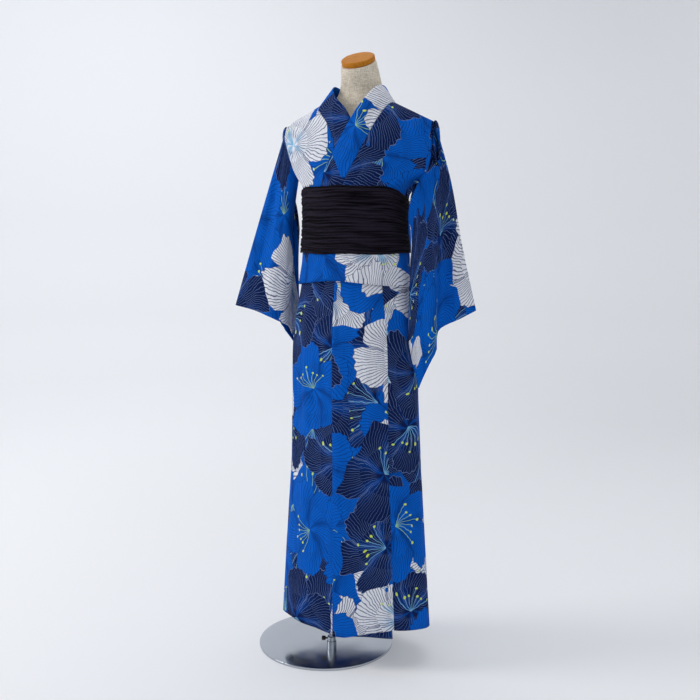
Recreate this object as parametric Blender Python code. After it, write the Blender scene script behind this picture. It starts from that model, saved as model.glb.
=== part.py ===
"""Cotton yukata robe with its sash, dressed on a limbless linen form that stands on a steel disc.

Metres, +Z up. The wearer faces -Y, so the wearer's right side is at -X. The origin is the centre of
the disc's underside. Every cloth wall is worked out from a surface function and a wall thickness.
"""

import math

import bmesh
import bpy
from mathutils import Vector

# Driving sizes
CLOTH = 0.0012
COLLAR_WALL = 0.0016
SASH_WALL = 0.0020
LAYER = 0.0022
SEAM = 0.0003
REST_GAP = 0.0003
BODY_X = 0.0815
BODY_Y = 0.0025
HEM_TOP = 1.03
SKIRT_ROWS = 12
COLUMN_ANGLE = math.radians(7.5)
COLUMN_MARGIN = 0.15    # share of a column that an edge keeps from the next column
BODICE_LOW = 1.16
RIDGE_HALF = 0.189
RIDGE_Y = 0.012
ARCH_POWER = 2.2
SASH_LOW = 1.000
SASH_HIGH = 1.157
SASH_ROWS = 9
SASH_COLUMNS = 52
SASH_RIDGE = 0.0008
SASH_OUT = 0.0095       # outer face of the sash off the innermost cloth layer's outer face
SASH_END_TOP = 1.0125
OPENING_ANGLE = -13.3   # free edge of the over front below the sash, degrees from the front middle
SEAM_TURN = math.radians(0.1)
FOLD_MORE = 0.0018      # extra thickness where the cloth is folded double below the sash
BODY_COLUMNS = 15
COLLAR_COLUMNS = 6
BACK_SHARES = (0.07, 0.17, 0.27, 0.38, 0.52, 0.68, 0.80, 0.88, 0.95, 1.0)

DISC_RADIUS = 0.171
DISC_THICK = 0.006
POLE_X = 0.037
POLE_Y = -0.045
POLE_RADIUS = 0.0075
SOCKET_RADIUS = 0.012
SOCKET_HEIGHT = 0.033
FORM_LOW = 0.700
NECK_TOP = 1.4475
CAP_RADIUS = 0.0405
CAP_THICK = 0.013
CAP_TILT = math.radians(28)

# Layers of cloth counted outwards from the form: the skirt is 1 and 2, the bodice 3 and 4
SKIRT_UNDER = 1
BODICE_UNDER = 3

# Colours
PRINTED_COTTON = (0.03, 0.13, 0.50)
CHARCOAL_CREPE = (0.02, 0.018, 0.022)
LINEN = (0.62, 0.57, 0.48)
CAP_WOOD = (0.55, 0.24, 0.05)
STEEL = (0.62, 0.63, 0.64)
SCREW_BLACK = (0.05, 0.05, 0.055)

# Outer face of the innermost cloth layer: height, half width, half depth
SKIRT_RINGS = (
    (0.06, 0.1940, 0.1225),
    (0.21, 0.1840, 0.1200),
    (0.36, 0.1740, 0.1180),
    (0.47, 0.1675, 0.1170),
    (0.65, 0.1635, 0.1170),
    (0.777, 0.1605, 0.1165),
    (0.86, 0.1490, 0.1120),
    (0.93, 0.1360, 0.1055),
    (1.00, 0.1290, 0.1020),
    (1.08, 0.1235, 0.0995),
    (1.16, 0.1255, 0.1010),
)

# Linen form: height, half width, half depth, place of the middle along Y
FORM_RINGS = (
    (0.7000, 0.124, 0.084, 0.000),
    (0.7040, 0.137, 0.096, 0.000),
    (0.7300, 0.146, 0.103, 0.000),
    (0.8000, 0.149, 0.1065, 0.000),
    (0.8600, 0.142, 0.105, 0.000),
    (0.9300, 0.1325, 0.1022, 0.000),
    (1.0300, 0.1245, 0.0989, 0.000),
    (1.0800, 0.1216, 0.0976, 0.000),
    (1.1600, 0.1225, 0.0978, 0.000),
    (1.2000, 0.1300, 0.0995, 0.002),
    (1.2400, 0.1400, 0.0960, 0.004),
    (1.2700, 0.1490, 0.0890, 0.006),
    (1.2950, 0.1520, 0.0760, 0.009),
    (1.3160, 0.1430, 0.0560, 0.012),
    (1.3310, 0.1180, 0.0480, 0.014),
    (1.3450, 0.0900, 0.0500, 0.020),
    (1.3600, 0.0660, 0.0500, 0.025),
    (1.3760, 0.0560, 0.0490, 0.031),
    (1.3950, 0.0505, 0.0480, 0.032),
    (1.4200, 0.0455, 0.0455, 0.026),
    (1.4475, 0.0415, 0.0415, 0.014),
)

# Fold below the sash by angle from the front middle: angle in degrees, height
WAIST_FOLD = ((-180, 0.930), (-90, 0.943), (-16, 0.940), (10, 0.937), (46, 0.928), (100, 0.918), (180, 0.930))

# Lower edge of each skirt run by angle from the front middle: angle in degrees, height
OVER_HEM = ((-14, 0.077), (8, 0.078), (44, 0.104), (65, 0.097), (90, 0.090))
UNDER_HEM = ((-90, 0.076), (-40, 0.086), (-17, 0.086), (0, 0.080), (24, 0.082), (46, 0.082))
BACK_HEM = ((90, 0.090), (135, 0.086), (180, 0.084), (225, 0.084), (270, 0.076))

# Sash edges by angle from the front middle: angle in degrees, drop of the top, rise of the bottom
SASH_EDGE = (
    (0, 0.000, 0.000),
    (45, 0.002, 0.000),
    (64, 0.009, 0.000),
    (81, 0.021, 0.001),
    (97, 0.035, 0.002),
    (112, 0.055, 0.005),
    (145, 0.057, 0.014),
    (180, 0.052, 0.018),
)

# Collar runs from under the sash over the shoulder to the nape. Sizes are for the wearer's left.
# Columns: side (front, back), seam x, seam z, free edge x, free edge z, lift back, lift up, and how much
# further across the under side lies
COLLAR_RUN = (
    ("front", -0.0400, 1.035, -0.0910, 1.059, 0.000, 0.000, 0.000),
    ("front", -0.0130, 1.098, -0.0640, 1.121, 0.000, 0.000, 0.004),
    ("front", 0.0135, 1.157, -0.0370, 1.181, 0.000, 0.000, 0.016),
    ("front", 0.0400, 1.215, -0.0115, 1.238, 0.000, 0.000, 0.032),
    ("front", 0.0600, 1.260, 0.0110, 1.286, 0.000, 0.001, 0.043),
    ("front", 0.0760, 1.300, 0.0300, 1.325, 0.000, 0.005, 0.036),
    ("front", 0.0880, 1.331, 0.0470, 1.350, 0.000, 0.014, 0.016),
    ("front", 0.0950, 1.351, 0.0585, 1.366, 0.002, 0.024, 0.004),
    ("back", 0.0860, 1.349, 0.0590, 1.362, 0.008, 0.029, 0.000),
    ("back", 0.0640, 1.342, 0.0480, 1.352, 0.014, 0.034, 0.000),
    ("back", 0.0340, 1.336, 0.0270, 1.341, 0.018, 0.040, 0.000),
    ("back", 0.0000, 1.333, 0.0000, 1.335, 0.020, 0.044, 0.000),
)

# Middle of each sleeve's flat pouch, from the top fold (0) to the bottom edge (1), by distance down
# the sleeve from the shoulder (0) to the cuff (1). Columns: down, across, x, y, z
LEFT_SLEEVE = (
    (0.00, 0.00, 0.1925, 0.012, 1.303),
    (0.00, 0.25, 0.1840, 0.008, 1.247),
    (0.00, 0.50, 0.1690, -0.014, 1.190),
    (0.00, 0.75, 0.1510, -0.037, 1.110),
    (0.00, 1.00, 0.1585, -0.041, 1.030),
    (0.30, 0.00, 0.2280, 0.030, 1.173),
    (0.30, 0.25, 0.2137, 0.024, 1.150),
    (0.30, 0.50, 0.2040, 0.009, 1.110),
    (0.30, 0.75, 0.1936, -0.034, 1.040),
    (0.30, 1.00, 0.1570, -0.047, 0.930),
    (0.65, 0.00, 0.2517, 0.052, 1.019),
    (0.65, 0.25, 0.2300, 0.037, 1.000),
    (0.65, 0.50, 0.2002, 0.013, 0.975),
    (0.65, 0.75, 0.2067, -0.034, 0.930),
    (0.65, 1.00, 0.1600, -0.058, 0.800),
    (1.00, 0.00, 0.2826, 0.071, 0.865),
    (1.00, 0.25, 0.2482, 0.039, 0.845),
    (1.00, 0.50, 0.2063, -0.001, 0.818),
    (1.00, 0.75, 0.2120, -0.038, 0.769),
    (1.00, 1.00, 0.1850, -0.056, 0.690),
)
RIGHT_SLEEVE = (
    (0.00, 0.00, -0.1925, 0.012, 1.303),
    (0.00, 0.25, -0.1840, 0.010, 1.247),
    (0.00, 0.50, -0.1720, 0.006, 1.190),
    (0.00, 0.75, -0.1680, 0.012, 1.110),
    (0.00, 1.00, -0.1620, 0.018, 1.050),
    (0.30, 0.00, -0.2293, -0.004, 1.173),
    (0.30, 0.25, -0.1975, -0.011, 1.150),
    (0.30, 0.50, -0.1759, -0.018, 1.110),
    (0.30, 0.75, -0.1828, 0.017, 1.040),
    (0.30, 1.00, -0.1732, 0.034, 0.950),
    (0.65, 0.00, -0.2752, -0.018, 1.019),
    (0.65, 0.25, -0.2182, -0.026, 1.000),
    (0.65, 0.50, -0.1800, -0.029, 0.975),
    (0.65, 0.75, -0.1914, 0.024, 0.920),
    (0.65, 1.00, -0.1808, 0.062, 0.830),
    (1.00, 0.00, -0.3190, -0.033, 0.865),
    (1.00, 0.25, -0.2518, -0.036, 0.852),
    (1.00, 0.50, -0.1860, -0.033, 0.825),
    (1.00, 0.75, -0.1980, 0.033, 0.790),
    (1.00, 1.00, -0.1747, 0.097, 0.700),
)
SLEEVE_HALF_GAP = 0.0085
SLEEVE_ROWS = 13
SLEEVE_SIDE_COLUMNS = 14
# By side, 1 for the wearer's left: down to where each sleeve is sewn on, and where it hangs free
ATTACHED = {1: 0.54, -1: 0.45}
RELEASED = {1: 0.72, -1: 0.64}
ARMHOLE_SHARE = 1.125    # distance across the sleeve for one whole run of the bodice's side
ARMHOLE_HALF = 0.015
SLEEVE_SET = {1: 0.0055, -1: 0.0030}    # how far it stands off the bodice
LEFT_FULLER = 0.008     # extra fullness of the skirt at the wearer's left
BLOUSE = {1: 0.035, -1: 0.0}            # extra fullness of the bodice's side above the sash
BLOUSE_START = {True: 0.008, False: 0.024}    # height above the sash where it starts, front and back
BLOUSE_RISE = 0.062                     # height over which it grows
HELD_SHARE = 0.3        # share of a sleeve's length over which the armhole shapes it

# Soft upright folds of the skirt. Columns: height of the wave, waves round, phase
SKIRT_WAVES = ((0.0030, 5, 0.9), (0.0022, 9, -0.6))
# Single tucks. Columns: degrees from the front middle, depth, width in radians
SKIRT_TUCKS = ((118, 0.0040, 0.16), (-128, 0.0040, 0.16))
FOLDS_FADE = (0.55, 0.92)       # heights between which the skirt's folds fade out
FULLER_FADE = (0.42, 0.66)
SKIRT_RADIUS = 0.15             # middle radius, for the seam gap as an angle

# Shoulder line, the fold below the sash and the sides of the bodice
NECK_X = 0.095
NECK_HEIGHT = 1.351
SHOULDER_SLOPE = 0.484
NAPE_X = 0.06
NAPE_DIP = 3.6
FOLD_FADE = (0.012, 0.056)      # heights above the fold between which its thickness fades
FOLD_PUFFS = {1: (0.0065, 0.004), -1: (0.003, 0.004)}
SIDE_OPEN = 0.006               # half gap between front and back at the side seam
SIDE_OPEN_FROM = 1.02
EDGE_SHARES = (0.0, 0.12, 0.28, 0.52, 0.78)

# Knot and hanging ends of the sash, each pair at the top and at the bottom
KNOT_HALF = (0.036, 0.0185, 0.050)
KNOT_HEIGHT = 1.061
KNOT_POWER = 0.62
END_HALF = (0.010, 0.042)
END_ASIDE = (0.013, 0.048)
END_FLUTE = 0.0035
END_WAVES = 3.2
END_OFF = 0.012
END_LEAN = 0.005
END_LENGTHS = {1: 0.27, -1: 0.23}

# Stand and cap. Columns of the profiles: radius, distance along; the cap's are shares of its size
SCREW_HEADING = (-0.93, -0.36, 0)
SCREW_HEIGHT = 0.0265
SCREW_PROFILE = (
    (0.0, 0.0110), (0.0022, 0.0110), (0.0022, 0.0150), (0.0050, 0.0155),
    (0.0055, 0.0170), (0.0055, 0.0235), (0.0045, 0.0250), (0.0, 0.0250),
)
CAP_PROFILE = (
    (0.0, 0.0), (0.92, 0.0), (0.985, 0.12), (1.0, 0.35),
    (1.0, 0.62), (0.975, 0.86), (0.92, 1.0), (0.0, 1.0),
)
FLANGE_PROFILE = (
    (POLE_RADIUS, 0.008), (0.012, 0.006), (0.038, 0.004), (0.040, 0.003), (0.040, 0.0), (0.0, 0.0),
)
SOCKET_STEP = 0.0015
SOCKET_SHOULDER = 0.0215
ROUND = 0.001
DISC_EDGE = 0.0012


def smooth(x, low, high):
    """0 below low, 1 above high, and a soft step between."""
    s = min(1.0, max(0.0, (x - low) / (high - low)))
    return s * s * (3 - 2 * s)


def along(rows, x, column):
    """Reads one column of a table at x by a cubic curve through its rows, sorted by the first column."""
    xs = [row[0] for row in rows]
    if x <= xs[0]:
        return rows[0][column]
    if x >= xs[-1]:
        return rows[-1][column]
    i = max(k for k in range(len(xs) - 1) if xs[k] <= x)

    def slope(k):
        a, b = max(k - 1, 0), min(k + 1, len(xs) - 1)
        return (rows[b][column] - rows[a][column]) / (xs[b] - xs[a])

    h = xs[i + 1] - xs[i]
    s = (x - xs[i]) / h
    return (
        rows[i][column] * (2 * s**3 - 3 * s**2 + 1)
        + rows[i + 1][column] * (3 * s**2 - 2 * s**3)
        + slope(i) * h * (s**3 - 2 * s**2 + s)
        + slope(i + 1) * h * (s**3 - s**2)
    )


def straight(rows, x, column):
    """Reads one column of a table at x by straight lines between its rows."""
    if x <= rows[0][0]:
        return rows[0][column]
    for low, high in zip(rows, rows[1:]):
        if x <= high[0]:
            s = (x - low[0]) / (high[0] - low[0])
            return low[column] + s * (high[column] - low[column])
    return rows[-1][column]


def finish(name, color, roughness, metallic, work, smooth_angle=40):
    """Makes one named object with its own material from a bmesh."""
    bmesh.ops.recalc_face_normals(work, faces=work.faces)
    if work.calc_volume(signed=True) < 0:
        bmesh.ops.reverse_faces(work, faces=work.faces)
    mesh = bpy.data.meshes.new(name)
    work.to_mesh(mesh)
    work.free()
    mesh.shade_smooth()
    mesh.set_sharp_from_angle(angle=math.radians(smooth_angle))
    material = bpy.data.materials.new(name + "_finish")
    material.use_nodes = True
    shader = material.node_tree.nodes["Principled BSDF"]
    shader.inputs["Base Color"].default_value = (*color, 1)
    shader.inputs["Roughness"].default_value = roughness
    shader.inputs["Metallic"].default_value = metallic
    mesh.materials.append(material)
    made = bpy.data.objects.new(name, mesh)
    bpy.context.scene.collection.objects.link(made)
    return made


def behind(grid, thick, ring=False):
    """Inner grid of a wall: each outer point moved in along the surface's own direction by thick."""
    rows, columns = len(grid), len(grid[0])
    inner = []
    for i, row in enumerate(grid):
        line = []
        for j, point in enumerate(row):
            ahead, back = (j + 1) % columns, (j - 1) % columns
            if not ring:
                ahead, back = min(j + 1, columns - 1), max(j - 1, 0)
            across = row[ahead] - row[back]
            up = grid[min(rows - 1, i + 1)][j] - grid[max(0, i - 1)][j]
            line.append(point - across.cross(up).normalized() * thick)
        inner.append(line)
    return inner


def wall(name, outside, inside, color, roughness=0.85, ring=False):
    """Closed wall between two grids of points, rows by columns. ring joins the last column to the first."""
    rows, columns = len(outside), len(outside[0])
    work = bmesh.new()
    outer = [[work.verts.new(point) for point in row] for row in outside]
    inner = [[work.verts.new(point) for point in row] for row in inside]
    last = columns if ring else columns - 1
    for i in range(rows - 1):
        for j in range(last):
            k = (j + 1) % columns
            work.faces.new((outer[i][j], outer[i][k], outer[i + 1][k], outer[i + 1][j]))
            work.faces.new((inner[i][j], inner[i + 1][j], inner[i + 1][k], inner[i][k]))
    for i in (0, rows - 1):
        for j in range(last):
            k = (j + 1) % columns
            work.faces.new((outer[i][j], inner[i][j], inner[i][k], outer[i][k]))
    if not ring:
        for j in (0, columns - 1):
            for i in range(rows - 1):
                work.faces.new((outer[i][j], outer[i + 1][j], inner[i + 1][j], inner[i][j]))
    return finish(name, color, roughness, 0.0, work)


def turned(name, profile, segments, centre, color, roughness, metallic=0.0):
    """Solid or bored piece turned about a vertical axis. A profile point on the axis closes it."""
    work = bmesh.new()
    rings = []
    for radius, z in profile:
        if radius < 1e-6:
            rings.append([work.verts.new((centre[0], centre[1], z))])
            continue
        ring = []
        for k in range(segments):
            angle = 2 * math.pi * k / segments
            place = (centre[0] + radius * math.cos(angle), centre[1] + radius * math.sin(angle), z)
            ring.append(work.verts.new(place))
        rings.append(ring)
    pairs = list(zip(rings, rings[1:]))
    if len(rings[0]) > 1:
        pairs.append((rings[-1], rings[0]))
    for low, high in pairs:
        for k in range(segments):
            n = (k + 1) % segments
            if len(low) == 1:
                work.faces.new((low[0], high[k], high[n]))
            elif len(high) == 1:
                work.faces.new((low[k], low[n], high[0]))
            else:
                work.faces.new((low[k], low[n], high[n], high[k]))
    return finish(name, color, roughness, metallic, work, 30)


def angles_between(start, end):
    """Column angles on the shared fan of angles, with the two given ends, so that stacked layers line up."""
    first = math.ceil(start / COLUMN_ANGLE + COLUMN_MARGIN)
    last = math.floor(end / COLUMN_ANGLE - COLUMN_MARGIN)
    return [start] + [k * COLUMN_ANGLE for k in range(first, last + 1)] + [end]


def drape(angle, z):
    """Soft upright folds of the hanging skirt: outward move of the cloth, nil where the sash holds it."""
    free = 1 - smooth(z, *FOLDS_FADE)
    fuller = LEFT_FULLER * max(0.0, math.sin(angle)) ** 2 * (1 - smooth(z, *FULLER_FADE))
    waves = sum(high * math.cos(count * angle + phase) for high, count, phase in SKIRT_WAVES)
    tucks = 0.0
    for at, deep, wide in SKIRT_TUCKS:
        tucks += deep * math.exp(-(((angle - math.radians(at)) / wide) ** 2))
    return fuller + free * (waves - tucks)


def skirt_point(angle, z, level):
    """Point on the outer face of a skirt layer."""
    out = (level - 1) * LAYER + drape(angle, z)
    half_width = along(SKIRT_RINGS, z, 1) + out
    half_depth = along(SKIRT_RINGS, z, 2) + out
    return Vector((BODY_X + half_width * math.sin(angle), BODY_Y - half_depth * math.cos(angle), z))


def over_level(low, angle):
    """The over layer lies one layer out at the front, and sinks to the under layer before the side seam."""
    return low + 1 - smooth(angle, math.radians(50), math.radians(75))


def skirt_panel(name, start, end, hem, level, color):
    """One skirt panel between two edge angles, each a function of height."""
    outside, inside = [], []
    for i in range(SKIRT_ROWS):
        share = i / (SKIRT_ROWS - 1)
        fan = angles_between(start(HEM_TOP * share), end(HEM_TOP * share))
        if i == 0:
            columns = len(fan)
        if len(fan) != columns:
            fan = [fan[0] + (fan[-1] - fan[0]) * k / (columns - 1) for k in range(columns)]
        outer, inner = [], []
        for angle in fan:
            low = straight(hem, math.degrees(angle), 1)
            z = low + (HEM_TOP - low) * share
            outer.append(skirt_point(angle, z, level(angle)))
            inner.append(skirt_point(angle, z, level(angle) - CLOTH / LAYER))
        outside.append(outer)
        inside.append(inner)
    return wall(name, outside, inside, color)


def degrees_line(low, high):
    """Edge angle that runs straight from the hem to the top of the skirt, in degrees."""
    return lambda z: math.radians(low + (high - low) * z / HEM_TOP)


def ridge_height(angle):
    """Height of the shoulder line at the place across that an angle stands for."""
    x = RIDGE_HALF * abs(math.sin(angle))
    return NECK_HEIGHT - SHOULDER_SLOPE * (x - NECK_X) - NAPE_DIP * max(0.0, NAPE_X - x) ** 2


def fold_low(angle):
    """Height of the fold below the sash at an angle from the front middle."""
    around = math.degrees(angle)
    return straight(WAIST_FOLD, around, 1)


def hanging(angle, z):
    """1 at the fold below the sash, where the cloth is double and stands off the skirt, and 0 above it."""
    return 1 - smooth(z - fold_low(angle), *FOLD_FADE)


def bodice_point(angle, run, level, puff=0.0, blouse=0.0):
    """Point on the bodice: run 0 at the fold below the sash, 1 on the shoulder line, 2 at the back's fold."""
    front = run <= 1
    k = run if front else 2 - run
    side = -1 if front else 1
    out = (level - 1) * LAYER
    aside = smooth(abs(math.sin(angle)), 0.6, 1.0)
    from_front = math.degrees(abs(angle)) if front else 180 - math.degrees(abs(angle))
    sash_top = SASH_HIGH - along(SASH_EDGE, from_front, 1) + BLOUSE_START[front]
    if k <= 0.5:
        low = fold_low(angle if front else math.copysign(math.pi, angle) - angle)
        z = low + (BODICE_LOW - low) * k / 0.5
        out += puff * (1 - smooth(z - low, *FOLD_FADE))
        half_width = along(SKIRT_RINGS, z, 1) + out
        half_depth = along(SKIRT_RINGS, z, 2) + out
        open_side = SIDE_OPEN * smooth(z, SIDE_OPEN_FROM, BODICE_LOW)
        y = side * (half_depth * math.cos(angle) + open_side * abs(math.sin(angle)) ** 9)
        half_width += blouse * aside * smooth(z, sash_top, sash_top + BLOUSE_RISE)
        return Vector((BODY_X + half_width * math.sin(angle), BODY_Y + y, z))
    turn = (k - 0.5) * math.pi
    base_width = along(SKIRT_RINGS, BODICE_LOW, 1) + out
    base_depth = along(SKIRT_RINGS, BODICE_LOW, 2) + out
    lift = (level - BODICE_UNDER) * LAYER
    share = math.sin(turn) ** (2 / ARCH_POWER)
    z = BODICE_LOW + (ridge_height(angle) + lift - BODICE_LOW) * share
    half_width = base_width + (RIDGE_HALF + lift - base_width) * math.sin(share * math.pi / 2)
    full = smooth(z, sash_top, sash_top + BLOUSE_RISE) * (1 - smooth(share, 0.15, 1.0))
    half_width += blouse * full * aside
    depth = base_depth * max(0.0, math.cos(turn)) ** (2 / ARCH_POWER)
    open_side = max(armhole_open((1 - k) * ARMHOLE_SHARE), SIDE_OPEN * (1 - share))
    y = side * (depth * math.cos(angle) + open_side * abs(math.sin(angle)) ** 9)
    return Vector((BODY_X + half_width * math.sin(angle), BODY_Y + RIDGE_Y * share + y, z))


def bodice_place(x, z, side):
    """Angle and run of the bodice where it crosses a given x and z, found step by step."""
    angle, k = math.asin(max(-1.0, min(1.0, x / RIDGE_HALF))), 0.75
    for _ in range(60):
        if z <= BODICE_LOW:
            low = fold_low(angle)
            k = 0.5 * (z - low) / (BODICE_LOW - low)
        else:
            share = min(1.0, (z - BODICE_LOW) / (ridge_height(angle) - BODICE_LOW))
            k = 0.5 + math.asin(share ** (ARCH_POWER / 2)) / math.pi
        width = bodice_point(math.pi / 2, k, BODICE_UNDER).x - BODY_X
        angle += 0.5 * (math.asin(max(-1.0, min(1.0, x / width))) - angle)
    return angle, k if side == "front" else 2 - k


def bodice_over_level(angle, run):
    """The over front lies further out where the under front is below it, and more so above the sash."""
    near_front = (1 - smooth(angle, math.radians(50), math.radians(75))) * (1 - smooth(run, 0.80, 1.0))
    return BODICE_UNDER + near_front * (1 + 0.4 * smooth(run, 0.50, 0.56))


def collar_course(sign):
    """Rows of one collar side from under the sash to the nape. sign is 1 for the wearer's left.

    Columns: seam angle, seam run, free angle, free run, lift back, lift up.
    """
    places = []
    for side, seam_x, seam_z, free_x, free_z, back, up, lean in COLLAR_RUN:
        across = lean if sign < 0 else 0.0
        seam = bodice_place(seam_x - across, seam_z, side)
        free = bodice_place(free_x - across, free_z, side)
        places.append((len(places), *seam, *free, back, up))
    steps = 2 * (len(places) - 1)
    return [[along(places, i / 2, column) for column in range(1, 7)] for i in range(steps + 1)]


def body_panel(name, sign, level, puffs, color):
    """One body panel from the front fold over the shoulder to the back fold. sign is 1 for the wearer's left.

    puffs holds how far the fold below the sash stands off at the front and at the back.
    """
    course = collar_course(sign)
    low_angle = math.radians(OPENING_ANGLE)
    edges = [(low_angle, share * course[0][1]) for share in EDGE_SHARES]
    edges += [(row[0], row[1]) for row in course]
    edges += [(0.0, course[-1][1] + (2 - course[-1][1]) * share) for share in BACK_SHARES]
    outside, inside = [], []
    for first, run in edges:
        start, end = first + SEAM_TURN, math.pi / 2 - SEAM_TURN
        outer, inner = [], []
        for k in range(BODY_COLUMNS):
            angle = start + (end - start) * k / (BODY_COLUMNS - 1)
            aside = smooth(angle, math.radians(50), math.radians(85)) if run < 1 else 1.0
            puff = puffs[0] + (puffs[1] - puffs[0]) * aside
            z = bodice_point(angle, run, BODICE_UNDER).z
            turned_angle = angle if run < 1 else math.copysign(math.pi, angle) - angle
            thick = CLOTH + FOLD_MORE * hanging(turned_angle, z)
            out = level(angle, run)
            for line, depth in ((outer, 0.0), (inner, thick)):
                point = bodice_point(angle, run, out - depth / LAYER, puff, BLOUSE[sign])
                line.append(Vector((BODY_X + sign * (point.x - BODY_X), point.y, point.z)))
        outside.append(outer)
        inside.append(inner)
    return wall(name, outside, inside, color)


def collar(name, sign, level, color):
    """Half of the collar band, from its lower end under the sash over the shoulder to the nape."""
    outside, inside = [], []
    for seam_angle, seam_run, free_angle, free_run, back, up in collar_course(sign):
        outer, inner = [], []
        for j in range(COLLAR_COLUMNS):
            c = j / (COLLAR_COLUMNS - 1)
            angle = seam_angle - SEAM_TURN + (free_angle - seam_angle) * c
            run = seam_run + (free_run - seam_run) * c
            for line, depth in ((outer, 0.0), (inner, COLLAR_WALL)):
                point = bodice_point(angle, run, level(angle, run) - depth / LAYER)
                point += Vector((0, back * c, up * c))
                x = point.x - BODY_X
                if run > 1:
                    x = max(x, SEAM / 2)
                line.append(Vector((BODY_X + sign * x, point.y, point.z)))
        outside.append(outer)
        inside.append(inner)
    return wall(name, outside, inside, color)


def sleeve_middle(table, down, across):
    """Point on the middle surface of a sleeve, by cubic curves through the table both ways."""
    levels = sorted({row[0] for row in table})
    lines = []
    for level in levels:
        rows = [row[1:] for row in table if row[0] == level]
        lines.append((level, *(along(rows, across, column) for column in (1, 2, 3))))
    x, y, z = (along(lines, down, column) for column in (1, 2, 3))
    return Vector((BODY_X + x, BODY_Y + y, z))


def armhole_open(across):
    """Half of the armhole's width, by distance across the sleeve from the top of the shoulder."""
    return ARMHOLE_HALF * math.sin(math.pi * min(1.0, across)) ** 0.8


def sleeve_place(table, sign, down, across):
    """Middle of a sleeve, which meets the armhole of the bodice at its upper inner end."""
    point = sleeve_middle(table, down, across)
    hold = (1 - smooth(down, 0.0, HELD_SHARE)) * (1 - smooth(across, ATTACHED[sign], RELEASED[sign]))
    k = 1 - min(across, ATTACHED[sign]) / ARMHOLE_SHARE
    front = bodice_point(math.pi / 2, k, BODICE_UNDER, 0.0, BLOUSE[sign])
    back = bodice_point(math.pi / 2, 2 - k, BODICE_UNDER, 0.0, BLOUSE[sign])
    seam = (front + back) / 2
    seam.x = BODY_X + sign * (seam.x - BODY_X + SLEEVE_SET[sign])
    return point.lerp(seam, hold)


def sleeve(name, table, sign, color):
    """Sleeve as a flat pouch, open at the cuff and towards the body, round a middle surface."""
    step = 0.02
    grid = []
    for i in range(SLEEVE_ROWS):
        down = i / (SLEEVE_ROWS - 1)
        row = []
        for j in range(2 * SLEEVE_SIDE_COLUMNS):
            turn = math.pi * j / SLEEVE_SIDE_COLUMNS
            across = (1 - math.cos(turn)) / 2
            low, high = max(0.0, across - step), min(1.0, across + step)
            middle = sleeve_place(table, sign, down, across)
            flow = sleeve_place(table, sign, down, high) - sleeve_place(table, sign, down, low)
            fall = sleeve_place(table, sign, min(1, down + step), across)
            fall -= sleeve_place(table, sign, max(0, down - step), across)
            outward = flow.cross(fall).normalized()
            held = 1 - smooth(down, 0.0, HELD_SHARE)
            wide = SLEEVE_HALF_GAP * abs(math.sin(turn)) ** 0.8
            wide += (armhole_open(across) - wide) * held * (1 - smooth(across, ATTACHED[sign], 0.8))
            row.append(middle + outward * math.copysign(wide, math.sin(turn)))
        grid.append(row)
    return wall(name, grid, behind(grid, CLOTH, ring=True), color, ring=True)


def sash_band(color):
    """The wound sash: a closed band whose edges draw together towards the knot at the back."""
    outside, inside = [], []
    for i in range(SASH_ROWS):
        share = i / (SASH_ROWS - 1)
        outer, inner = [], []
        for j in range(SASH_COLUMNS):
            angle = 2 * math.pi * j / SASH_COLUMNS
            from_front = math.degrees(min(angle, 2 * math.pi - angle))
            high = SASH_HIGH - along(SASH_EDGE, from_front, 1)
            low = SASH_LOW + along(SASH_EDGE, from_front, 2)
            z = low + (high - low) * share
            ridge = SASH_RIDGE * (1 if i % 2 else 0)
            for line, out in ((outer, SASH_OUT + ridge), (inner, SASH_OUT - SASH_WALL)):
                half_width = along(SKIRT_RINGS, z, 1) + out
                half_depth = along(SKIRT_RINGS, z, 2) + out
                x = BODY_X + half_width * math.sin(angle)
                line.append(Vector((x, BODY_Y - half_depth * math.cos(angle), z)))
        outside.append(outer)
        inside.append(inner)
    return wall("sash_band", outside, inside, color, ring=True)


def sash_back():
    """Y of the sash's outer face at the back middle."""
    return BODY_Y + along(SKIRT_RINGS, 1.06, 2) + SASH_OUT + SASH_RIDGE


def sash_knot(color):
    """Plain knot at the back: a short rounded wrap, flat towards the band."""
    half = Vector(KNOT_HALF)
    centre = Vector((BODY_X, sash_back() + REST_GAP + half.y, KNOT_HEIGHT))
    work = bmesh.new()
    rings, segments = 9, 20
    rows = []
    for i in range(1, rings):
        lat = math.pi * (i / rings - 0.5)
        row = []
        for j in range(segments):
            lon = 2 * math.pi * j / segments
            shape = [math.cos(lat) * math.cos(lon), math.cos(lat) * math.sin(lon), math.sin(lat)]
            point = [math.copysign(abs(v) ** KNOT_POWER, v) * h for v, h in zip(shape, half)]
            row.append(work.verts.new(centre + Vector(point)))
        rows.append(row)
    for low, high in zip(rows, rows[1:]):
        for j in range(segments):
            k = (j + 1) % segments
            work.faces.new((low[j], low[k], high[k], high[j]))
    work.faces.new(rows[0][::-1])
    work.faces.new(rows[-1])
    return finish("sash_knot", color, 0.9, 0.0, work)


def sash_end(name, sign, length, color):
    """One hanging end of the sash, softly fluted, from just under the knot."""
    rows, columns = 9, 11
    grid = []
    for i in range(rows):
        share = 1 - i / (rows - 1)
        half = END_HALF[0] + (END_HALF[1] - END_HALF[0]) * share
        middle = BODY_X + sign * (END_ASIDE[0] + (END_ASIDE[1] - END_ASIDE[0]) * share)
        row = []
        for j in range(columns):
            c = 2 * j / (columns - 1) - 1
            flute = END_FLUTE * math.cos(END_WAVES * math.pi * c + sign) * smooth(share, 0.0, 0.4)
            y = sash_back() + END_OFF + END_LEAN * (1 - share) + flute
            row.append(Vector((middle - half * c, y, SASH_END_TOP - length * share)))
        grid.append(row)
    return wall(name, grid, behind(grid, SASH_WALL), color)


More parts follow.
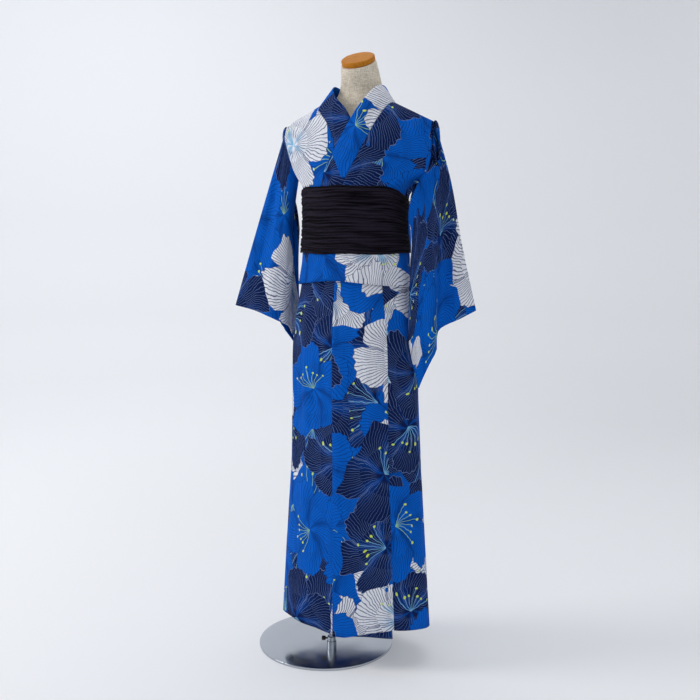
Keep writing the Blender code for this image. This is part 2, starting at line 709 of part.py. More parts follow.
def form(color):
    """Smooth linen form: shoulders, waist and neck in one closed skin, with a flat underside."""
    work = bmesh.new()
    segments = 36
    rings = []
    for z, *_ in FORM_RINGS:
        half_width, half_depth, middle = (straight(FORM_RINGS, z, column) for column in (1, 2, 3))
        tilt = smooth(z, 1.36, NECK_TOP) * math.tan(CAP_TILT)
        ring = []
        for k in range(segments):
            angle = 2 * math.pi * k / segments
            x = half_width * math.sin(angle)
            y = -half_depth * math.cos(angle)
            ring.append(work.verts.new((BODY_X + x, BODY_Y + middle + y, z + y * tilt)))
        rings.append(ring)
    for low, high in zip(rings, rings[1:]):
        for k in range(segments):
            n = (k + 1) % segments
            work.faces.new((low[k], low[n], high[n], high[k]))
    work.faces.new(rings[0][::-1])
    work.faces.new(rings[-1])
    return finish("linen_form", color, 0.9, 0.0, work)


def cap(color):
    """Wooden disc with rounded edges, tilted forward on top of the neck."""
    work = bmesh.new()
    profile = CAP_PROFILE
    segments = 40
    foot = Vector((BODY_X, BODY_Y + FORM_RINGS[-1][3], NECK_TOP))
    up = Vector((0, -math.sin(CAP_TILT), math.cos(CAP_TILT)))
    side = Vector((1, 0, 0))
    ahead = up.cross(side)
    rings = []
    for radius, height in profile:
        base = foot + up * (REST_GAP + CAP_THICK * height)
        if radius == 0:
            rings.append([work.verts.new(base)])
            continue
        ring = []
        for k in range(segments):
            angle = 2 * math.pi * k / segments
            reach = side * math.cos(angle) + ahead * math.sin(angle)
            ring.append(work.verts.new(base + reach * CAP_RADIUS * radius))
        rings.append(ring)
    for low, high in zip(rings, rings[1:]):
        for k in range(segments):
            n = (k + 1) % segments
            if len(low) == 1:
                work.faces.new((low[0], high[n], high[k]))
            elif len(high) == 1:
                work.faces.new((low[k], low[n], high[0]))
            else:
                work.faces.new((low[k], low[n], high[n], high[k]))
    return finish("neck_cap", color, 0.4, 0.0, work, 50)


def thumb_screw(color):
    """Small set screw with a ribbed knob on the socket's left-front side, pointing at the pole."""
    work = bmesh.new()
    heading = Vector(SCREW_HEADING).normalized()
    side = Vector((0, 0, 1)).cross(heading)
    start = Vector((POLE_X, POLE_Y, DISC_THICK + REST_GAP + SCREW_HEIGHT))
    profile = SCREW_PROFILE
    segments = 16
    rings = []
    for radius, reach in profile:
        base = start + heading * reach
        if radius == 0:
            rings.append([work.verts.new(base)])
            continue
        ring = []
        for k in range(segments):
            angle = 2 * math.pi * k / segments
            spoke = side * math.cos(angle) + Vector((0, 0, 1)) * math.sin(angle)
            ring.append(work.verts.new(base + spoke * radius))
        rings.append(ring)
    for low, high in zip(rings, rings[1:]):
        for k in range(segments):
            n = (k + 1) % segments
            if len(low) == 1:
                work.faces.new((low[0], high[n], high[k]))
            elif len(high) == 1:
                work.faces.new((low[k], low[n], high[0]))
            else:
                work.faces.new((low[k], low[n], high[n], high[k]))
    return finish("set_screw", color, 0.4, 1.0, work)


def stand():
    """Steel disc, socket, set screw and pole."""
    edge = DISC_EDGE
    disc = [(0.0, 0.0), (DISC_RADIUS - edge, 0.0), (DISC_RADIUS, edge)]
    disc += [(DISC_RADIUS, DISC_THICK - edge), (DISC_RADIUS - edge, DISC_THICK), (0.0, DISC_THICK)]
    turned("steel_disc", disc, 72, (0, 0), STEEL, 0.25, 1.0)
    low = DISC_THICK + REST_GAP
    bore = POLE_RADIUS + REST_GAP
    neck = SOCKET_RADIUS - SOCKET_STEP
    rim = low + SOCKET_HEIGHT
    socket = [(bore, low), (SOCKET_RADIUS, low), (SOCKET_RADIUS, low + SOCKET_SHOULDER - ROUND)]
    socket.append((neck, low + SOCKET_SHOULDER))
    socket += [(neck, rim - ROUND), (neck - ROUND, rim), (bore, rim)]
    turned("pole_socket", socket, 32, (POLE_X, POLE_Y), STEEL, 0.3, 1.0)
    thumb_screw(SCREW_BLACK)
    top = FORM_LOW - REST_GAP
    flange = [(0.0, low), (POLE_RADIUS, low), *((r, top - drop) for r, drop in FLANGE_PROFILE)]
    turned("pole", flange, 24, (POLE_X, POLE_Y), STEEL, 0.3, 1.0)


def skirt():
    """The six lengths of the skirt: two backs, two fronts and two narrow overlap panels."""
    gap = math.degrees(SEAM / 2 / SKIRT_RADIUS)
    over_free = (-1.5, -3.0)
    over_seam = (45.0, 46.0)
    under_free, under_seam = (44.0, 44.0), (7.5, 7.5)

    def under(_):
        return SKIRT_UNDER

    def over(angle):
        return over_level(SKIRT_UNDER, angle)

    def line(pair, move=0.0):
        return degrees_line(pair[0] + move, pair[1] + move)

    right_side, left_side, back = (-90, -90), (90, 90), (180, 180)
    skirt_panel("overlap_over", line(over_free), line(over_seam, -gap), OVER_HEM, over, PRINTED_COTTON)
    left, right = line(over_seam, gap), line(left_side, -gap)
    skirt_panel("front_left_skirt", left, right, OVER_HEM, over, PRINTED_COTTON)
    skirt_panel("back_left_skirt", line(left_side, gap), line(back, -gap), BACK_HEM, under, PRINTED_COTTON)
    skirt_panel("back_right_skirt", line(back, gap), line((270, 270), -gap), BACK_HEM, under, PRINTED_COTTON)
    left, right = line(right_side, gap), line(under_seam, -gap)
    skirt_panel("front_right_skirt", left, right, UNDER_HEM, under, PRINTED_COTTON)
    skirt_panel("overlap_under", line(under_seam, gap), line(under_free), UNDER_HEM, under, PRINTED_COTTON)


def main():
    for old in list(bpy.data.objects):
        bpy.data.objects.remove(old)
    stand()
    form(LINEN)
    cap(CAP_WOOD)
    skirt()

    def under(_angle, _run):
        return BODICE_UNDER

    body_panel("body_right", -1, under, FOLD_PUFFS[-1], PRINTED_COTTON)
    body_panel("body_left", 1, bodice_over_level, FOLD_PUFFS[1], PRINTED_COTTON)
    collar("collar_right", -1, under, PRINTED_COTTON)
    collar("collar_left", 1, bodice_over_level, PRINTED_COTTON)
    sleeve("sleeve_left", LEFT_SLEEVE, 1, PRINTED_COTTON)
    sleeve("sleeve_right", RIGHT_SLEEVE, -1, PRINTED_COTTON)
    sash_band(CHARCOAL_CREPE)
    sash_knot(CHARCOAL_CREPE)
    sash_end("sash_end_left", 1, END_LENGTHS[1], CHARCOAL_CREPE)
    sash_end("sash_end_right", -1, END_LENGTHS[-1], CHARCOAL_CREPE)


main()
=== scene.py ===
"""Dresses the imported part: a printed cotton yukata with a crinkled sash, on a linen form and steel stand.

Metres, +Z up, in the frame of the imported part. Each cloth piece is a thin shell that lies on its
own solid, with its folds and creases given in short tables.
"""

import math

import bmesh
import bpy
from bpy.props import FloatProperty, FloatVectorProperty, PointerProperty
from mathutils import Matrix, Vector


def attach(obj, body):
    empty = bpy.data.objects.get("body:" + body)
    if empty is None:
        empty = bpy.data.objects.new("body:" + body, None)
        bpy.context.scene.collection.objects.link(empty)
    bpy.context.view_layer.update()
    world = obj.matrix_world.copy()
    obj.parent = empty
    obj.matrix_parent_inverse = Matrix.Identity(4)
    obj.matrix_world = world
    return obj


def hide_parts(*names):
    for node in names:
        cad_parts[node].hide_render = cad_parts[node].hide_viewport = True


bl_info = {
    "name": "Yukata on a dress form",
    "version": (1, 0, 0),
    "blender": (4, 5, 0),
    "location": "3D View > Sidebar > Yukata",
    "description": "Builds the printed robe, its sash, the linen form and the steel stand",
    "category": "Add Mesh",
}

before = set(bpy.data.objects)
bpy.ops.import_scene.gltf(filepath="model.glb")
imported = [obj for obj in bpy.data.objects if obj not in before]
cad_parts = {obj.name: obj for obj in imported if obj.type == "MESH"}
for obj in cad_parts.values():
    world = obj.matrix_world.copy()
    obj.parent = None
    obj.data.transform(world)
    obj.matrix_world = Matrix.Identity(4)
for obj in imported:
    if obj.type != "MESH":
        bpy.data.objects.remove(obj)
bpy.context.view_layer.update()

# Sizes shared with the solids
CLOTH = 0.0012
COLLAR_WALL = 0.0016
LAYER = 0.0022
SEAM = 0.0003
BODY_X = 0.0815
BODY_Y = 0.0025
HEM_TOP = 1.03
BODICE_LOW = 1.16
RIDGE_HALF = 0.189
RIDGE_Y = 0.012
ARCH_POWER = 2.2
SASH_LOW = 1.000
SASH_HIGH = 1.157
SASH_OUT = 0.0095
OPENING_ANGLE = -13.3
SEAM_TURN = math.radians(0.1)
SLEEVE_HALF_GAP = 0.0085
# By side, 1 for the wearer's left: down to where each sleeve is sewn on, and where it hangs free
ATTACHED = {1: 0.54, -1: 0.45}
RELEASED = {1: 0.72, -1: 0.64}
ARMHOLE_SHARE = 1.125
ARMHOLE_HALF = 0.015
ARMHOLE_POWER = 0.8
ARMHOLE_END = 0.8       # share across the sleeve where it no longer widens to the armhole
SLEEVE_SET = {1: 0.0055, -1: 0.0030}    # how far it stands off the bodice
LEFT_FULLER = 0.008     # extra fullness of the skirt at the wearer's left
BLOUSE = {1: 0.035, -1: 0.0}            # extra fullness of the bodice's side above the sash
BLOUSE_START = {True: 0.008, False: 0.024}    # height above the sash where it starts, front and back
BLOUSE_RISE = 0.062                     # height over which it grows
HELD_SHARE = 0.3        # share of a sleeve's length over which the armhole shapes it

# Soft upright folds of the skirt. Columns: height of the wave, waves round, phase
SKIRT_WAVES = ((0.0030, 5, 0.9), (0.0022, 9, -0.6))
# Single tucks. Columns: degrees from the front middle, depth, width in radians
SKIRT_TUCKS = ((118, 0.0040, 0.16), (-128, 0.0040, 0.16))
FOLDS_FADE = (0.55, 0.92)       # heights between which the skirt's folds fade out
FULLER_FADE = (0.42, 0.66)
SKIRT_RADIUS = 0.15             # middle radius, for the seam gap as an angle

# Shoulder line, the fold below the sash and the sides of the bodice
NECK_X, NECK_HEIGHT = 0.095, 1.351
SHOULDER_SLOPE = 0.484
NAPE_X, NAPE_DIP = 0.06, 3.6
FOLD_FADE = (0.012, 0.056)      # heights above the fold between which its fullness fades
FOLD_PUFFS = {1: (0.0065, 0.004), -1: (0.003, 0.004)}
SIDE_OPEN = 0.006               # half gap between front and back at the side seam
SIDE_OPEN_FROM = 1.02
SIDE_POWER = 9                  # how closely that gap keeps to the side
BLOUSE_ASIDE = (0.6, 1.0)       # sines of the angles between which the extra fullness grows
BLOUSE_FADE = (0.15, 1.0)       # shares of the way up the shoulder over which it fades
OVER_RUN_FADE = (0.80, 1.0)     # runs between which the over front sinks on the shoulder
OVER_LIFT = 0.4                 # how many layers further out it lies above the sash
OVER_LIFT_FROM = (0.50, 0.56)
PUFF_FADE = (math.radians(50), math.radians(85))    # angles between which the fold's fullness changes
FRONT_STEPS, COURSE_STEPS, BACK_STEPS = 16, 6, 34   # rows of a body panel below, along and behind the collar
OVER_FADE = (math.radians(50), math.radians(75))    # angles between which the over front sinks

SKIRT_UNDER, BODICE_UNDER = 1, 3
DISC_RADIUS, DISC_THICK = 0.171, 0.006
NECK_TOP = 1.4475
CAP_RADIUS, CAP_THICK = 0.0405, 0.013
CAP_TILT = math.radians(28)

# Outer face of the innermost cloth layer: height, half width, half depth
SKIRT_RINGS = (
    (0.06, 0.1940, 0.1225),
    (0.21, 0.1840, 0.1200),
    (0.36, 0.1740, 0.1180),
    (0.47, 0.1675, 0.1170),
    (0.65, 0.1635, 0.1170),
    (0.777, 0.1605, 0.1165),
    (0.86, 0.1490, 0.1120),
    (0.93, 0.1360, 0.1055),
    (1.00, 0.1290, 0.1020),
    (1.08, 0.1235, 0.0995),
    (1.16, 0.1255, 0.1010),
)

# Linen form: height, half width, half depth, place of the middle along Y
FORM_RINGS = (
    (0.7000, 0.124, 0.084, 0.000),
    (0.7040, 0.137, 0.096, 0.000),
    (0.7300, 0.146, 0.103, 0.000),
    (0.8000, 0.149, 0.1065, 0.000),
    (0.8600, 0.142, 0.105, 0.000),
    (0.9300, 0.1325, 0.1022, 0.000),
    (1.0300, 0.1245, 0.0989, 0.000),
    (1.0800, 0.1216, 0.0976, 0.000),
    (1.1600, 0.1225, 0.0978, 0.000),
    (1.2000, 0.1300, 0.0995, 0.002),
    (1.2400, 0.1400, 0.0960, 0.004),
    (1.2700, 0.1490, 0.0890, 0.006),
    (1.2950, 0.1520, 0.0760, 0.009),
    (1.3160, 0.1430, 0.0560, 0.012),
    (1.3310, 0.1180, 0.0480, 0.014),
    (1.3450, 0.0900, 0.0500, 0.020),
    (1.3600, 0.0660, 0.0500, 0.025),
    (1.3760, 0.0560, 0.0490, 0.031),
    (1.3950, 0.0505, 0.0480, 0.032),
    (1.4200, 0.0455, 0.0455, 0.026),
    (1.4475, 0.0415, 0.0415, 0.014),
)

# Fold below the sash by angle from the front middle: angle in degrees, height
WAIST_FOLD = ((-180, 0.930), (-90, 0.943), (-16, 0.940), (10, 0.937), (46, 0.928), (100, 0.918), (180, 0.930))

# Lower edge of each skirt run by angle from the front middle: angle in degrees, height
OVER_HEM = ((-14, 0.077), (8, 0.078), (44, 0.104), (65, 0.097), (90, 0.090))
UNDER_HEM = ((-90, 0.076), (-40, 0.086), (-17, 0.086), (0, 0.080), (24, 0.082), (46, 0.082))
BACK_HEM = ((90, 0.090), (135, 0.086), (180, 0.084), (225, 0.084), (270, 0.076))

# Skirt panels. Columns: piece, solid, first edge, last edge, lower edge, whether it is part of the over
# front, corner on the printed cloth. An edge is its angle in degrees at the floor and at the top, and the
# way it stands off its seam.
SKIRT_PANELS = (
    ("skirt_overlap_over", "overlap_over", (-1.5, -3.0, 0), (45, 46, -1), OVER_HEM, True, (27.7, 11.4)),
    ("skirt_front_left", "front_left_skirt", (45, 46, 1), (90, 90, -1), OVER_HEM, True, (33.1, 4.6)),
    ("skirt_back_left", "back_left_skirt", (90, 90, 1), (180, 180, -1), BACK_HEM, False, (4.3, 0.7)),
    ("skirt_back_right", "back_right_skirt", (180, 180, 1), (270, 270, -1), BACK_HEM, False, (6.2, 0.1)),
    ("skirt_front_right", "front_right_skirt", (-90, -90, 0), (7.5, 7.5, -1), UNDER_HEM, False, (8.4, 0.5)),
    ("skirt_overlap_under", "overlap_under", (7.5, 7.5, 1), (44, 44, 0), UNDER_HEM, False, (10.3, 0.2)),
)
SKIRT_COLUMN = 1.1      # degrees between two columns of points

# Length to width of the cuts
BODY_RATIO, COLLAR_RATIO, SLEEVE_RATIO, SASH_RATIO = 3.6, 9.0, 0.6, 5.3

# Sash edges by angle from the front middle: angle in degrees, drop of the top, rise of the bottom
SASH_EDGE = (
    (0, 0.000, 0.000),
    (45, 0.002, 0.000),
    (64, 0.009, 0.000),
    (81, 0.021, 0.001),
    (97, 0.035, 0.002),
    (112, 0.055, 0.005),
    (145, 0.057, 0.014),
    (180, 0.052, 0.018),
)

# Collar from under the sash over the shoulder to the nape, for the wearer's left.
# Columns: side, seam x, seam z, free edge x, free edge z, lift back, lift up, how much further across
# the under side lies
COLLAR_RUN = (
    ("front", -0.0400, 1.035, -0.0910, 1.059, 0.000, 0.000, 0.000),
    ("front", -0.0130, 1.098, -0.0640, 1.121, 0.000, 0.000, 0.004),
    ("front", 0.0135, 1.157, -0.0370, 1.181, 0.000, 0.000, 0.016),
    ("front", 0.0400, 1.215, -0.0115, 1.238, 0.000, 0.000, 0.032),
    ("front", 0.0600, 1.260, 0.0110, 1.286, 0.000, 0.001, 0.043),
    ("front", 0.0760, 1.300, 0.0300, 1.325, 0.000, 0.005, 0.036),
    ("front", 0.0880, 1.331, 0.0470, 1.350, 0.000, 0.014, 0.016),
    ("front", 0.0950, 1.351, 0.0585, 1.366, 0.002, 0.024, 0.004),
    ("back", 0.0860, 1.349, 0.0590, 1.362, 0.008, 0.029, 0.000),
    ("back", 0.0640, 1.342, 0.0480, 1.352, 0.014, 0.034, 0.000),
    ("back", 0.0340, 1.336, 0.0270, 1.341, 0.018, 0.040, 0.000),
    ("back", 0.0000, 1.333, 0.0000, 1.335, 0.020, 0.044, 0.000),
)

# Middle of each sleeve's flat pouch. Columns: down, across, x, y, z
LEFT_SLEEVE = (
    (0.00, 0.00, 0.1925, 0.012, 1.303),
    (0.00, 0.25, 0.1840, 0.008, 1.247),
    (0.00, 0.50, 0.1690, -0.014, 1.190),
    (0.00, 0.75, 0.1510, -0.037, 1.110),
    (0.00, 1.00, 0.1585, -0.041, 1.030),
    (0.30, 0.00, 0.2280, 0.030, 1.173),
    (0.30, 0.25, 0.2137, 0.024, 1.150),
    (0.30, 0.50, 0.2040, 0.009, 1.110),
    (0.30, 0.75, 0.1936, -0.034, 1.040),
    (0.30, 1.00, 0.1570, -0.047, 0.930),
    (0.65, 0.00, 0.2517, 0.052, 1.019),
    (0.65, 0.25, 0.2300, 0.037, 1.000),
    (0.65, 0.50, 0.2002, 0.013, 0.975),
    (0.65, 0.75, 0.2067, -0.034, 0.930),
    (0.65, 1.00, 0.1600, -0.058, 0.800),
    (1.00, 0.00, 0.2826, 0.071, 0.865),
    (1.00, 0.25, 0.2482, 0.039, 0.845),
    (1.00, 0.50, 0.2063, -0.001, 0.818),
    (1.00, 0.75, 0.2120, -0.038, 0.769),
    (1.00, 1.00, 0.1850, -0.056, 0.690),
)
RIGHT_SLEEVE = (
    (0.00, 0.00, -0.1925, 0.012, 1.303),
    (0.00, 0.25, -0.1840, 0.010, 1.247),
    (0.00, 0.50, -0.1720, 0.006, 1.190),
    (0.00, 0.75, -0.1680, 0.012, 1.110),
    (0.00, 1.00, -0.1620, 0.018, 1.050),
    (0.30, 0.00, -0.2293, -0.004, 1.173),
    (0.30, 0.25, -0.1975, -0.011, 1.150),
    (0.30, 0.50, -0.1759, -0.018, 1.110),
    (0.30, 0.75, -0.1828, 0.017, 1.040),
    (0.30, 1.00, -0.1732, 0.034, 0.950),
    (0.65, 0.00, -0.2752, -0.018, 1.019),
    (0.65, 0.25, -0.2182, -0.026, 1.000),
    (0.65, 0.50, -0.1800, -0.029, 0.975),
    (0.65, 0.75, -0.1914, 0.024, 0.920),
    (0.65, 1.00, -0.1808, 0.062, 0.830),
    (1.00, 0.00, -0.3190, -0.033, 0.865),
    (1.00, 0.25, -0.2518, -0.036, 0.852),
    (1.00, 0.50, -0.1860, -0.033, 0.825),
    (1.00, 0.75, -0.1980, 0.033, 0.790),
    (1.00, 1.00, -0.1747, 0.097, 0.700),
)

# Creases are troughs and ridges. Each row has its two ends, its width in metres and its move out.
CREASE_DEPTH = 1.5      # depth of all creases against the tables
CREASE_REACH = 3        # widths at which a crease ends
CREASE_BEND = 0.35      # bend of its line in widths
CREASE_ENDS, CREASE_FADE = 0.12, 0.7    # how it fades towards its ends

# Skirt: angle and height of the upper end, then of the lower end, width, move out
SKIRT_CREASES = (
    (-78, 0.90, -70, 0.30, 0.016, -0.0030),
    (-62, 0.86, -58, 0.12, 0.020, 0.0022),
    (-46, 0.92, -38, 0.55, 0.013, -0.0018),
    (-24, 0.90, -30, 0.30, 0.018, -0.0016),
    (-5, 0.93, -3, 0.66, 0.012, 0.0012),
    (14, 0.92, 10, 0.40, 0.018, -0.0016),
    (32, 0.90, 30, 0.14, 0.022, 0.0018),
    (56, 0.90, 60, 0.25, 0.015, -0.0022),
    (74, 0.88, 80, 0.12, 0.016, 0.0024),
    (98, 0.86, 104, 0.10, 0.018, -0.0030),
    (124, 0.88, 126, 0.30, 0.018, 0.0022),
    (150, 0.88, 148, 0.10, 0.020, -0.0022),
    (172, 0.86, 176, 0.25, 0.016, 0.0016),
    (-166, 0.88, -160, 0.12, 0.018, -0.0024),
    (-138, 0.86, -140, 0.20, 0.018, 0.0022),
    (-112, 0.88, -104, 0.14, 0.018, -0.0028),
)

SKIRT_SCALE = (0.0026, 1.0)         # metres for a degree round and for a metre of height
SKIRT_HELD = (0.86, 0.92)           # heights between which the fold below the sash hides the creases

# Bodice: angle and run of one end, then of the other, width, move out
BODICE_CREASES = (
    (68, 0.56, 40, 0.86, 0.010, -0.0024),
    (74, 0.52, 58, 0.78, 0.009, 0.0022),
    (56, 0.51, 34, 0.68, 0.009, -0.0018),
    (82, 0.62, 66, 0.92, 0.009, -0.0024),
    (40, 0.50, 24, 0.60, 0.008, 0.0014),
    (80, 0.78, 52, 0.94, 0.008, 0.0016),
    (70, 1.10, 40, 1.42, 0.012, -0.0026),
    (82, 1.20, 60, 1.50, 0.010, 0.0022),
    (30, 1.22, 20, 1.50, 0.012, -0.0018),
    (56, 1.30, 44, 1.52, 0.009, 0.0018),
    (20, 0.02, 26, 0.24, 0.010, -0.0014),
    (60, 0.02, 54, 0.22, 0.010, -0.0016),
    (100, 0.02, 92, 0.24, 0.010, 0.0016),
    (40, 1.98, 46, 1.80, 0.012, -0.0016),
    (70, 1.98, 64, 1.80, 0.010, 0.0014),
)

BODICE_SCALE = (0.0021, 0.42)       # metres for a degree round and for one whole run
COLLAR_CALM = 0.6                   # how much calmer the collar's free edge is than its seam
SASH_HOLDS = ((0.985, 0.995), (1.160, 1.185))   # heights between which the sash starts and stops holding
EDGE_CALM = (0.02, 0.16)            # angles from the side seam between which the creases begin

# Sleeves: across and down of one end, then of the other, width, move out
SLEEVE_CREASES = (
    (0.16, 0.04, 0.14, 0.95, 0.012, 0.0040),
    (0.30, 0.08, 0.34, 0.98, 0.013, -0.0040),
    (0.44, 0.25, 0.46, 0.96, 0.010, 0.0030),
    (0.58, 0.30, 0.62, 0.98, 0.014, -0.0034),
    (0.76, 0.36, 0.78, 0.94, 0.014, 0.0034),
    (0.90, 0.45, 0.88, 0.98, 0.012, -0.0026),
    (0.06, 0.12, 0.22, 0.34, 0.008, -0.0022),
    (0.08, 0.30, 0.28, 0.50, 0.008, 0.0020),
)

SLEEVE_SCALE = (0.42, 0.50)         # metres for one whole width and for one whole length
SLEEVE_CALM = 0.16                  # share of the length over which the creases begin
INNER_SHARE = 0.35                  # strength of the creases that differ between the two faces
INNER_FROM, INNER_STRETCH = 1.02, 1.1   # their table is read from the other edge, and a little stretched

# Rounded rims of the plates, the rise of the cap's top, and the floor: radius and height of each rim
REST_GAP = 0.0003
DISC_EDGE = 0.0014
DISC_SIDES = 224
CAP_EDGE = 0.0034
CAP_CROWN = 0.0003
PLATE_SMOOTH = 35
FLOOR_ROWS = ((3.2, -0.0004), (3.9, 0.10), (4.5, 0.45), (4.9, 1.1), (5.0, 2.0), (5.0, 6.0))
FLOOR_SIDES = 96
FLOOR_SMOOTH = 80

# Shares of the printed flowers: white above, navy below, cobalt between
WHITE_ABOVE = 0.70
NAVY_BELOW = 0.27

# Crinkles of the sash: share of its height, width, depth, wave of the line, phase
SASH_CRINKLES = (
    (0.05, 0.0016, 0.0016, 0.0008, 0.3),
    (0.12, 0.0020, 0.0022, 0.0014, 1.9),
    (0.19, 0.0016, 0.0014, 0.0020, 4.1),
    (0.27, 0.0024, 0.0026, 0.0016, 0.8),
    (0.34, 0.0015, 0.0014, 0.0024, 2.6),
    (0.42, 0.0022, 0.0024, 0.0016, 5.2),
    (0.49, 0.0018, 0.0016, 0.0022, 3.3),
    (0.57, 0.0026, 0.0028, 0.0014, 1.2),
    (0.64, 0.0016, 0.0015, 0.0022, 4.6),
    (0.72, 0.0022, 0.0024, 0.0016, 0.1),
    (0.80, 0.0017, 0.0016, 0.0020, 2.2),
    (0.88, 0.0022, 0.0022, 0.0012, 3.9),
    (0.95, 0.0016, 0.0014, 0.0008, 5.7),
)

SASH_SWAY = 0.0011      # how far the sash's upper and lower edges wave
SASH_FACE = 0.0006      # the cloth's face beyond the solid's
SASH_ROLL = 0.0012      # how far its edges roll in
SASH_DEEPEST = 0.0017
SASH_SHELL = 0.0009     # thickness of the cloth, which leaves room for the crinkles

# Fine crinkles of the sash: spacing, bend of the line in spacings, phase, height
SASH_FINE = ((0.0108, 0.55, 0.4, 0.0018), (0.0074, 0.85, 2.1, 0.0012), (0.0240, 0.30, 4.0, 0.0014))


# Knot at the back: half sizes, squareness, depth of its wrapped folds as a share of its width
KNOT_HALF = (0.036, 0.0180, 0.048)
KNOT_HEIGHT = 1.061
KNOT_OFF = 0.0208       # middle of the knot behind the sash's face
KNOT_POWER = 0.66
KNOT_FOLD = 0.0011 / 0.03
KNOT_GRID = (60, 72)    # rings and points around
SASH_BACK_HEIGHT = 1.06

# Hanging ends of the sash: at the knot, then at the tip
END_HALF = (0.010, 0.042)
END_ASIDE = (0.013, 0.048)
END_TOP = 1.0125
END_LENGTHS = {1: 0.27, -1: 0.23}
END_FLUTE, END_WAVES = 0.0035, 3.2
END_CRINKLE = 0.0008
END_UNEVEN = 0.003      # how far the tip's edge waves
END_OFF, END_LEAN = 0.0128, 0.005
END_MIDDLE = Vector((BODY_X, 0, 0.9))

# Heights of the form's rings: the lower rim listed one by one, then even steps over the trunk and over the
# shoulders
FORM_RIM = (0.700, 0.702, 0.705, 0.710)
FORM_TRUNK = (0.72, 0.02, 30)
FORM_SHOULDERS = (1.31, 0.0055, 25)
FORM_AROUND = 96
NECK_TILT_FROM = 1.36
NECK_ROUND = (0.0035, 0.001)        # heights below the neck's top of its last rings
NECK_TUCK = 0.0012

# Colours of the print
COBALT = (0.0008, 0.112, 0.56, 1)
COBALT_DEEP = (0.0008, 0.056, 0.30, 1)
VEIN_BLUE = (0.002, 0.022, 0.13, 1)
COBALT_INK = (0.0008, 0.018, 0.10, 1)
NAVY = (0.0030, 0.012, 0.070, 1)
WHITE = (0.78, 0.80, 0.86, 1)
SKY = (0.19, 0.46, 0.72, 1)
LILAC = (0.16, 0.24, 0.48, 1)
ANTHER = (0.62, 0.78, 0.12, 1)
STALK = (0.30, 0.55, 0.30, 1)

# Layers of flowers over the ground: place on the cut, spacing, petal length, share of cells with a flower
GROUND_LAYER = ((3.17, 1.31, 0), 0.15, 0.20, 1.0)
TOP_LAYERS = (
    ((7.71, 5.23, 0), 0.205, 0.112, 0.95),
    ((1.93, 9.47, 0), 0.215, 0.122, 0.70),
    ((5.37, 2.89, 0), 0.240, 0.130, 0.45),
)
SWAY_SCALE, SWAY = 9.0, 0.055       # broad waver of the petals
RUFFLE_SCALE, RUFFLE = 42.0, 0.010  # fine waver
LOOSENESS = 0.55        # how unevenly the flowers are spaced
TWIST = 3.0             # how far a petal turns in radians for a metre outwards
NOTCH = 0.55            # depth of the gap between two petals
SCALLOPS, SCALLOP = 7, 0.018
VEINS = 8               # veins on the inner part of a petal, twice as many beyond FINE_FROM
FINE_FROM = 0.060
STALK_TURN = 0.30       # angle between two stalks
STALK_COUNT = 7

# Threads of the weave to a millimetre
THREADS = 1.2

# Glow of the floor, the lamps and the camera.
# Lamps: name, place, aim, size, power, colour
GLOW = 0.185
GLOW_COLOR = (0.94, 0.962, 1.0, 1)
LAMP_AIM = (0.05, 0, 0.8)
LAMPS = (
    ("key", (-2.9, -1.5, 2.5), LAMP_AIM, 1.5, 56.0, (1.0, 0.985, 0.97)),
    ("fill", (2.8, -2.4, 1.9), LAMP_AIM, 2.6, 8.0, (0.95, 0.98, 1.0)),
    ("top", (0.0, 0.4, 3.4), LAMP_AIM, 3.0, 30.0, (1.0, 1.0, 1.0)),
    ("rear", (-1.6, 1.9, 2.9), (-4.6, 3.2, 1.2), 1.8, 27.0, (0.97, 0.99, 1.0)),
)
WORLD_COLOR, WORLD_STRENGTH = (0.90, 0.905, 0.93, 1), 0.25
CAMERA_PLACE = (1.018, -2.135, 1.07)
CAMERA_DOWN, CAMERA_TURN = 7.5, 24
CAMERA_SENSOR = 36
CAMERA_REACH = 960 / 700            # focal length in widths of the sensor

MATERIALS = {}


def smooth(x, low, high):
    """0 below low, 1 above high, and a soft step between."""
    s = min(1.0, max(0.0, (x - low) / (high - low)))
    return s * s * (3 - 2 * s)


def along(rows, x, column):
    """Reads one column of a table at x by a cubic curve through its rows."""
    xs = [row[0] for row in rows]
    if x <= xs[0]:
        return rows[0][column]
    if x >= xs[-1]:
        return rows[-1][column]
    i = max(k for k in range(len(xs) - 1) if xs[k] <= x)

    def slope(k):
        a, b = max(k - 1, 0), min(k + 1, len(xs) - 1)
        return (rows[b][column] - rows[a][column]) / (xs[b] - xs[a])

    h = xs[i + 1] - xs[i]
    s = (x - xs[i]) / h
    return (
        rows[i][column] * (2 * s**3 - 3 * s**2 + 1)
        + rows[i + 1][column] * (3 * s**2 - 2 * s**3)
        + slope(i) * h * (s**3 - 2 * s**2 + s)
        + slope(i + 1) * h * (s**3 - s**2)
    )


def straight(rows, x, column):
    """Reads one column of a table at x by straight lines between its rows."""
    if x <= rows[0][0]:
        return rows[0][column]
    for low, high in zip(rows, rows[1:]):
        if x <= high[0]:
            s = (x - low[0]) / (high[0] - low[0])
            return low[column] + s * (high[column] - low[column])
    return rows[-1][column]


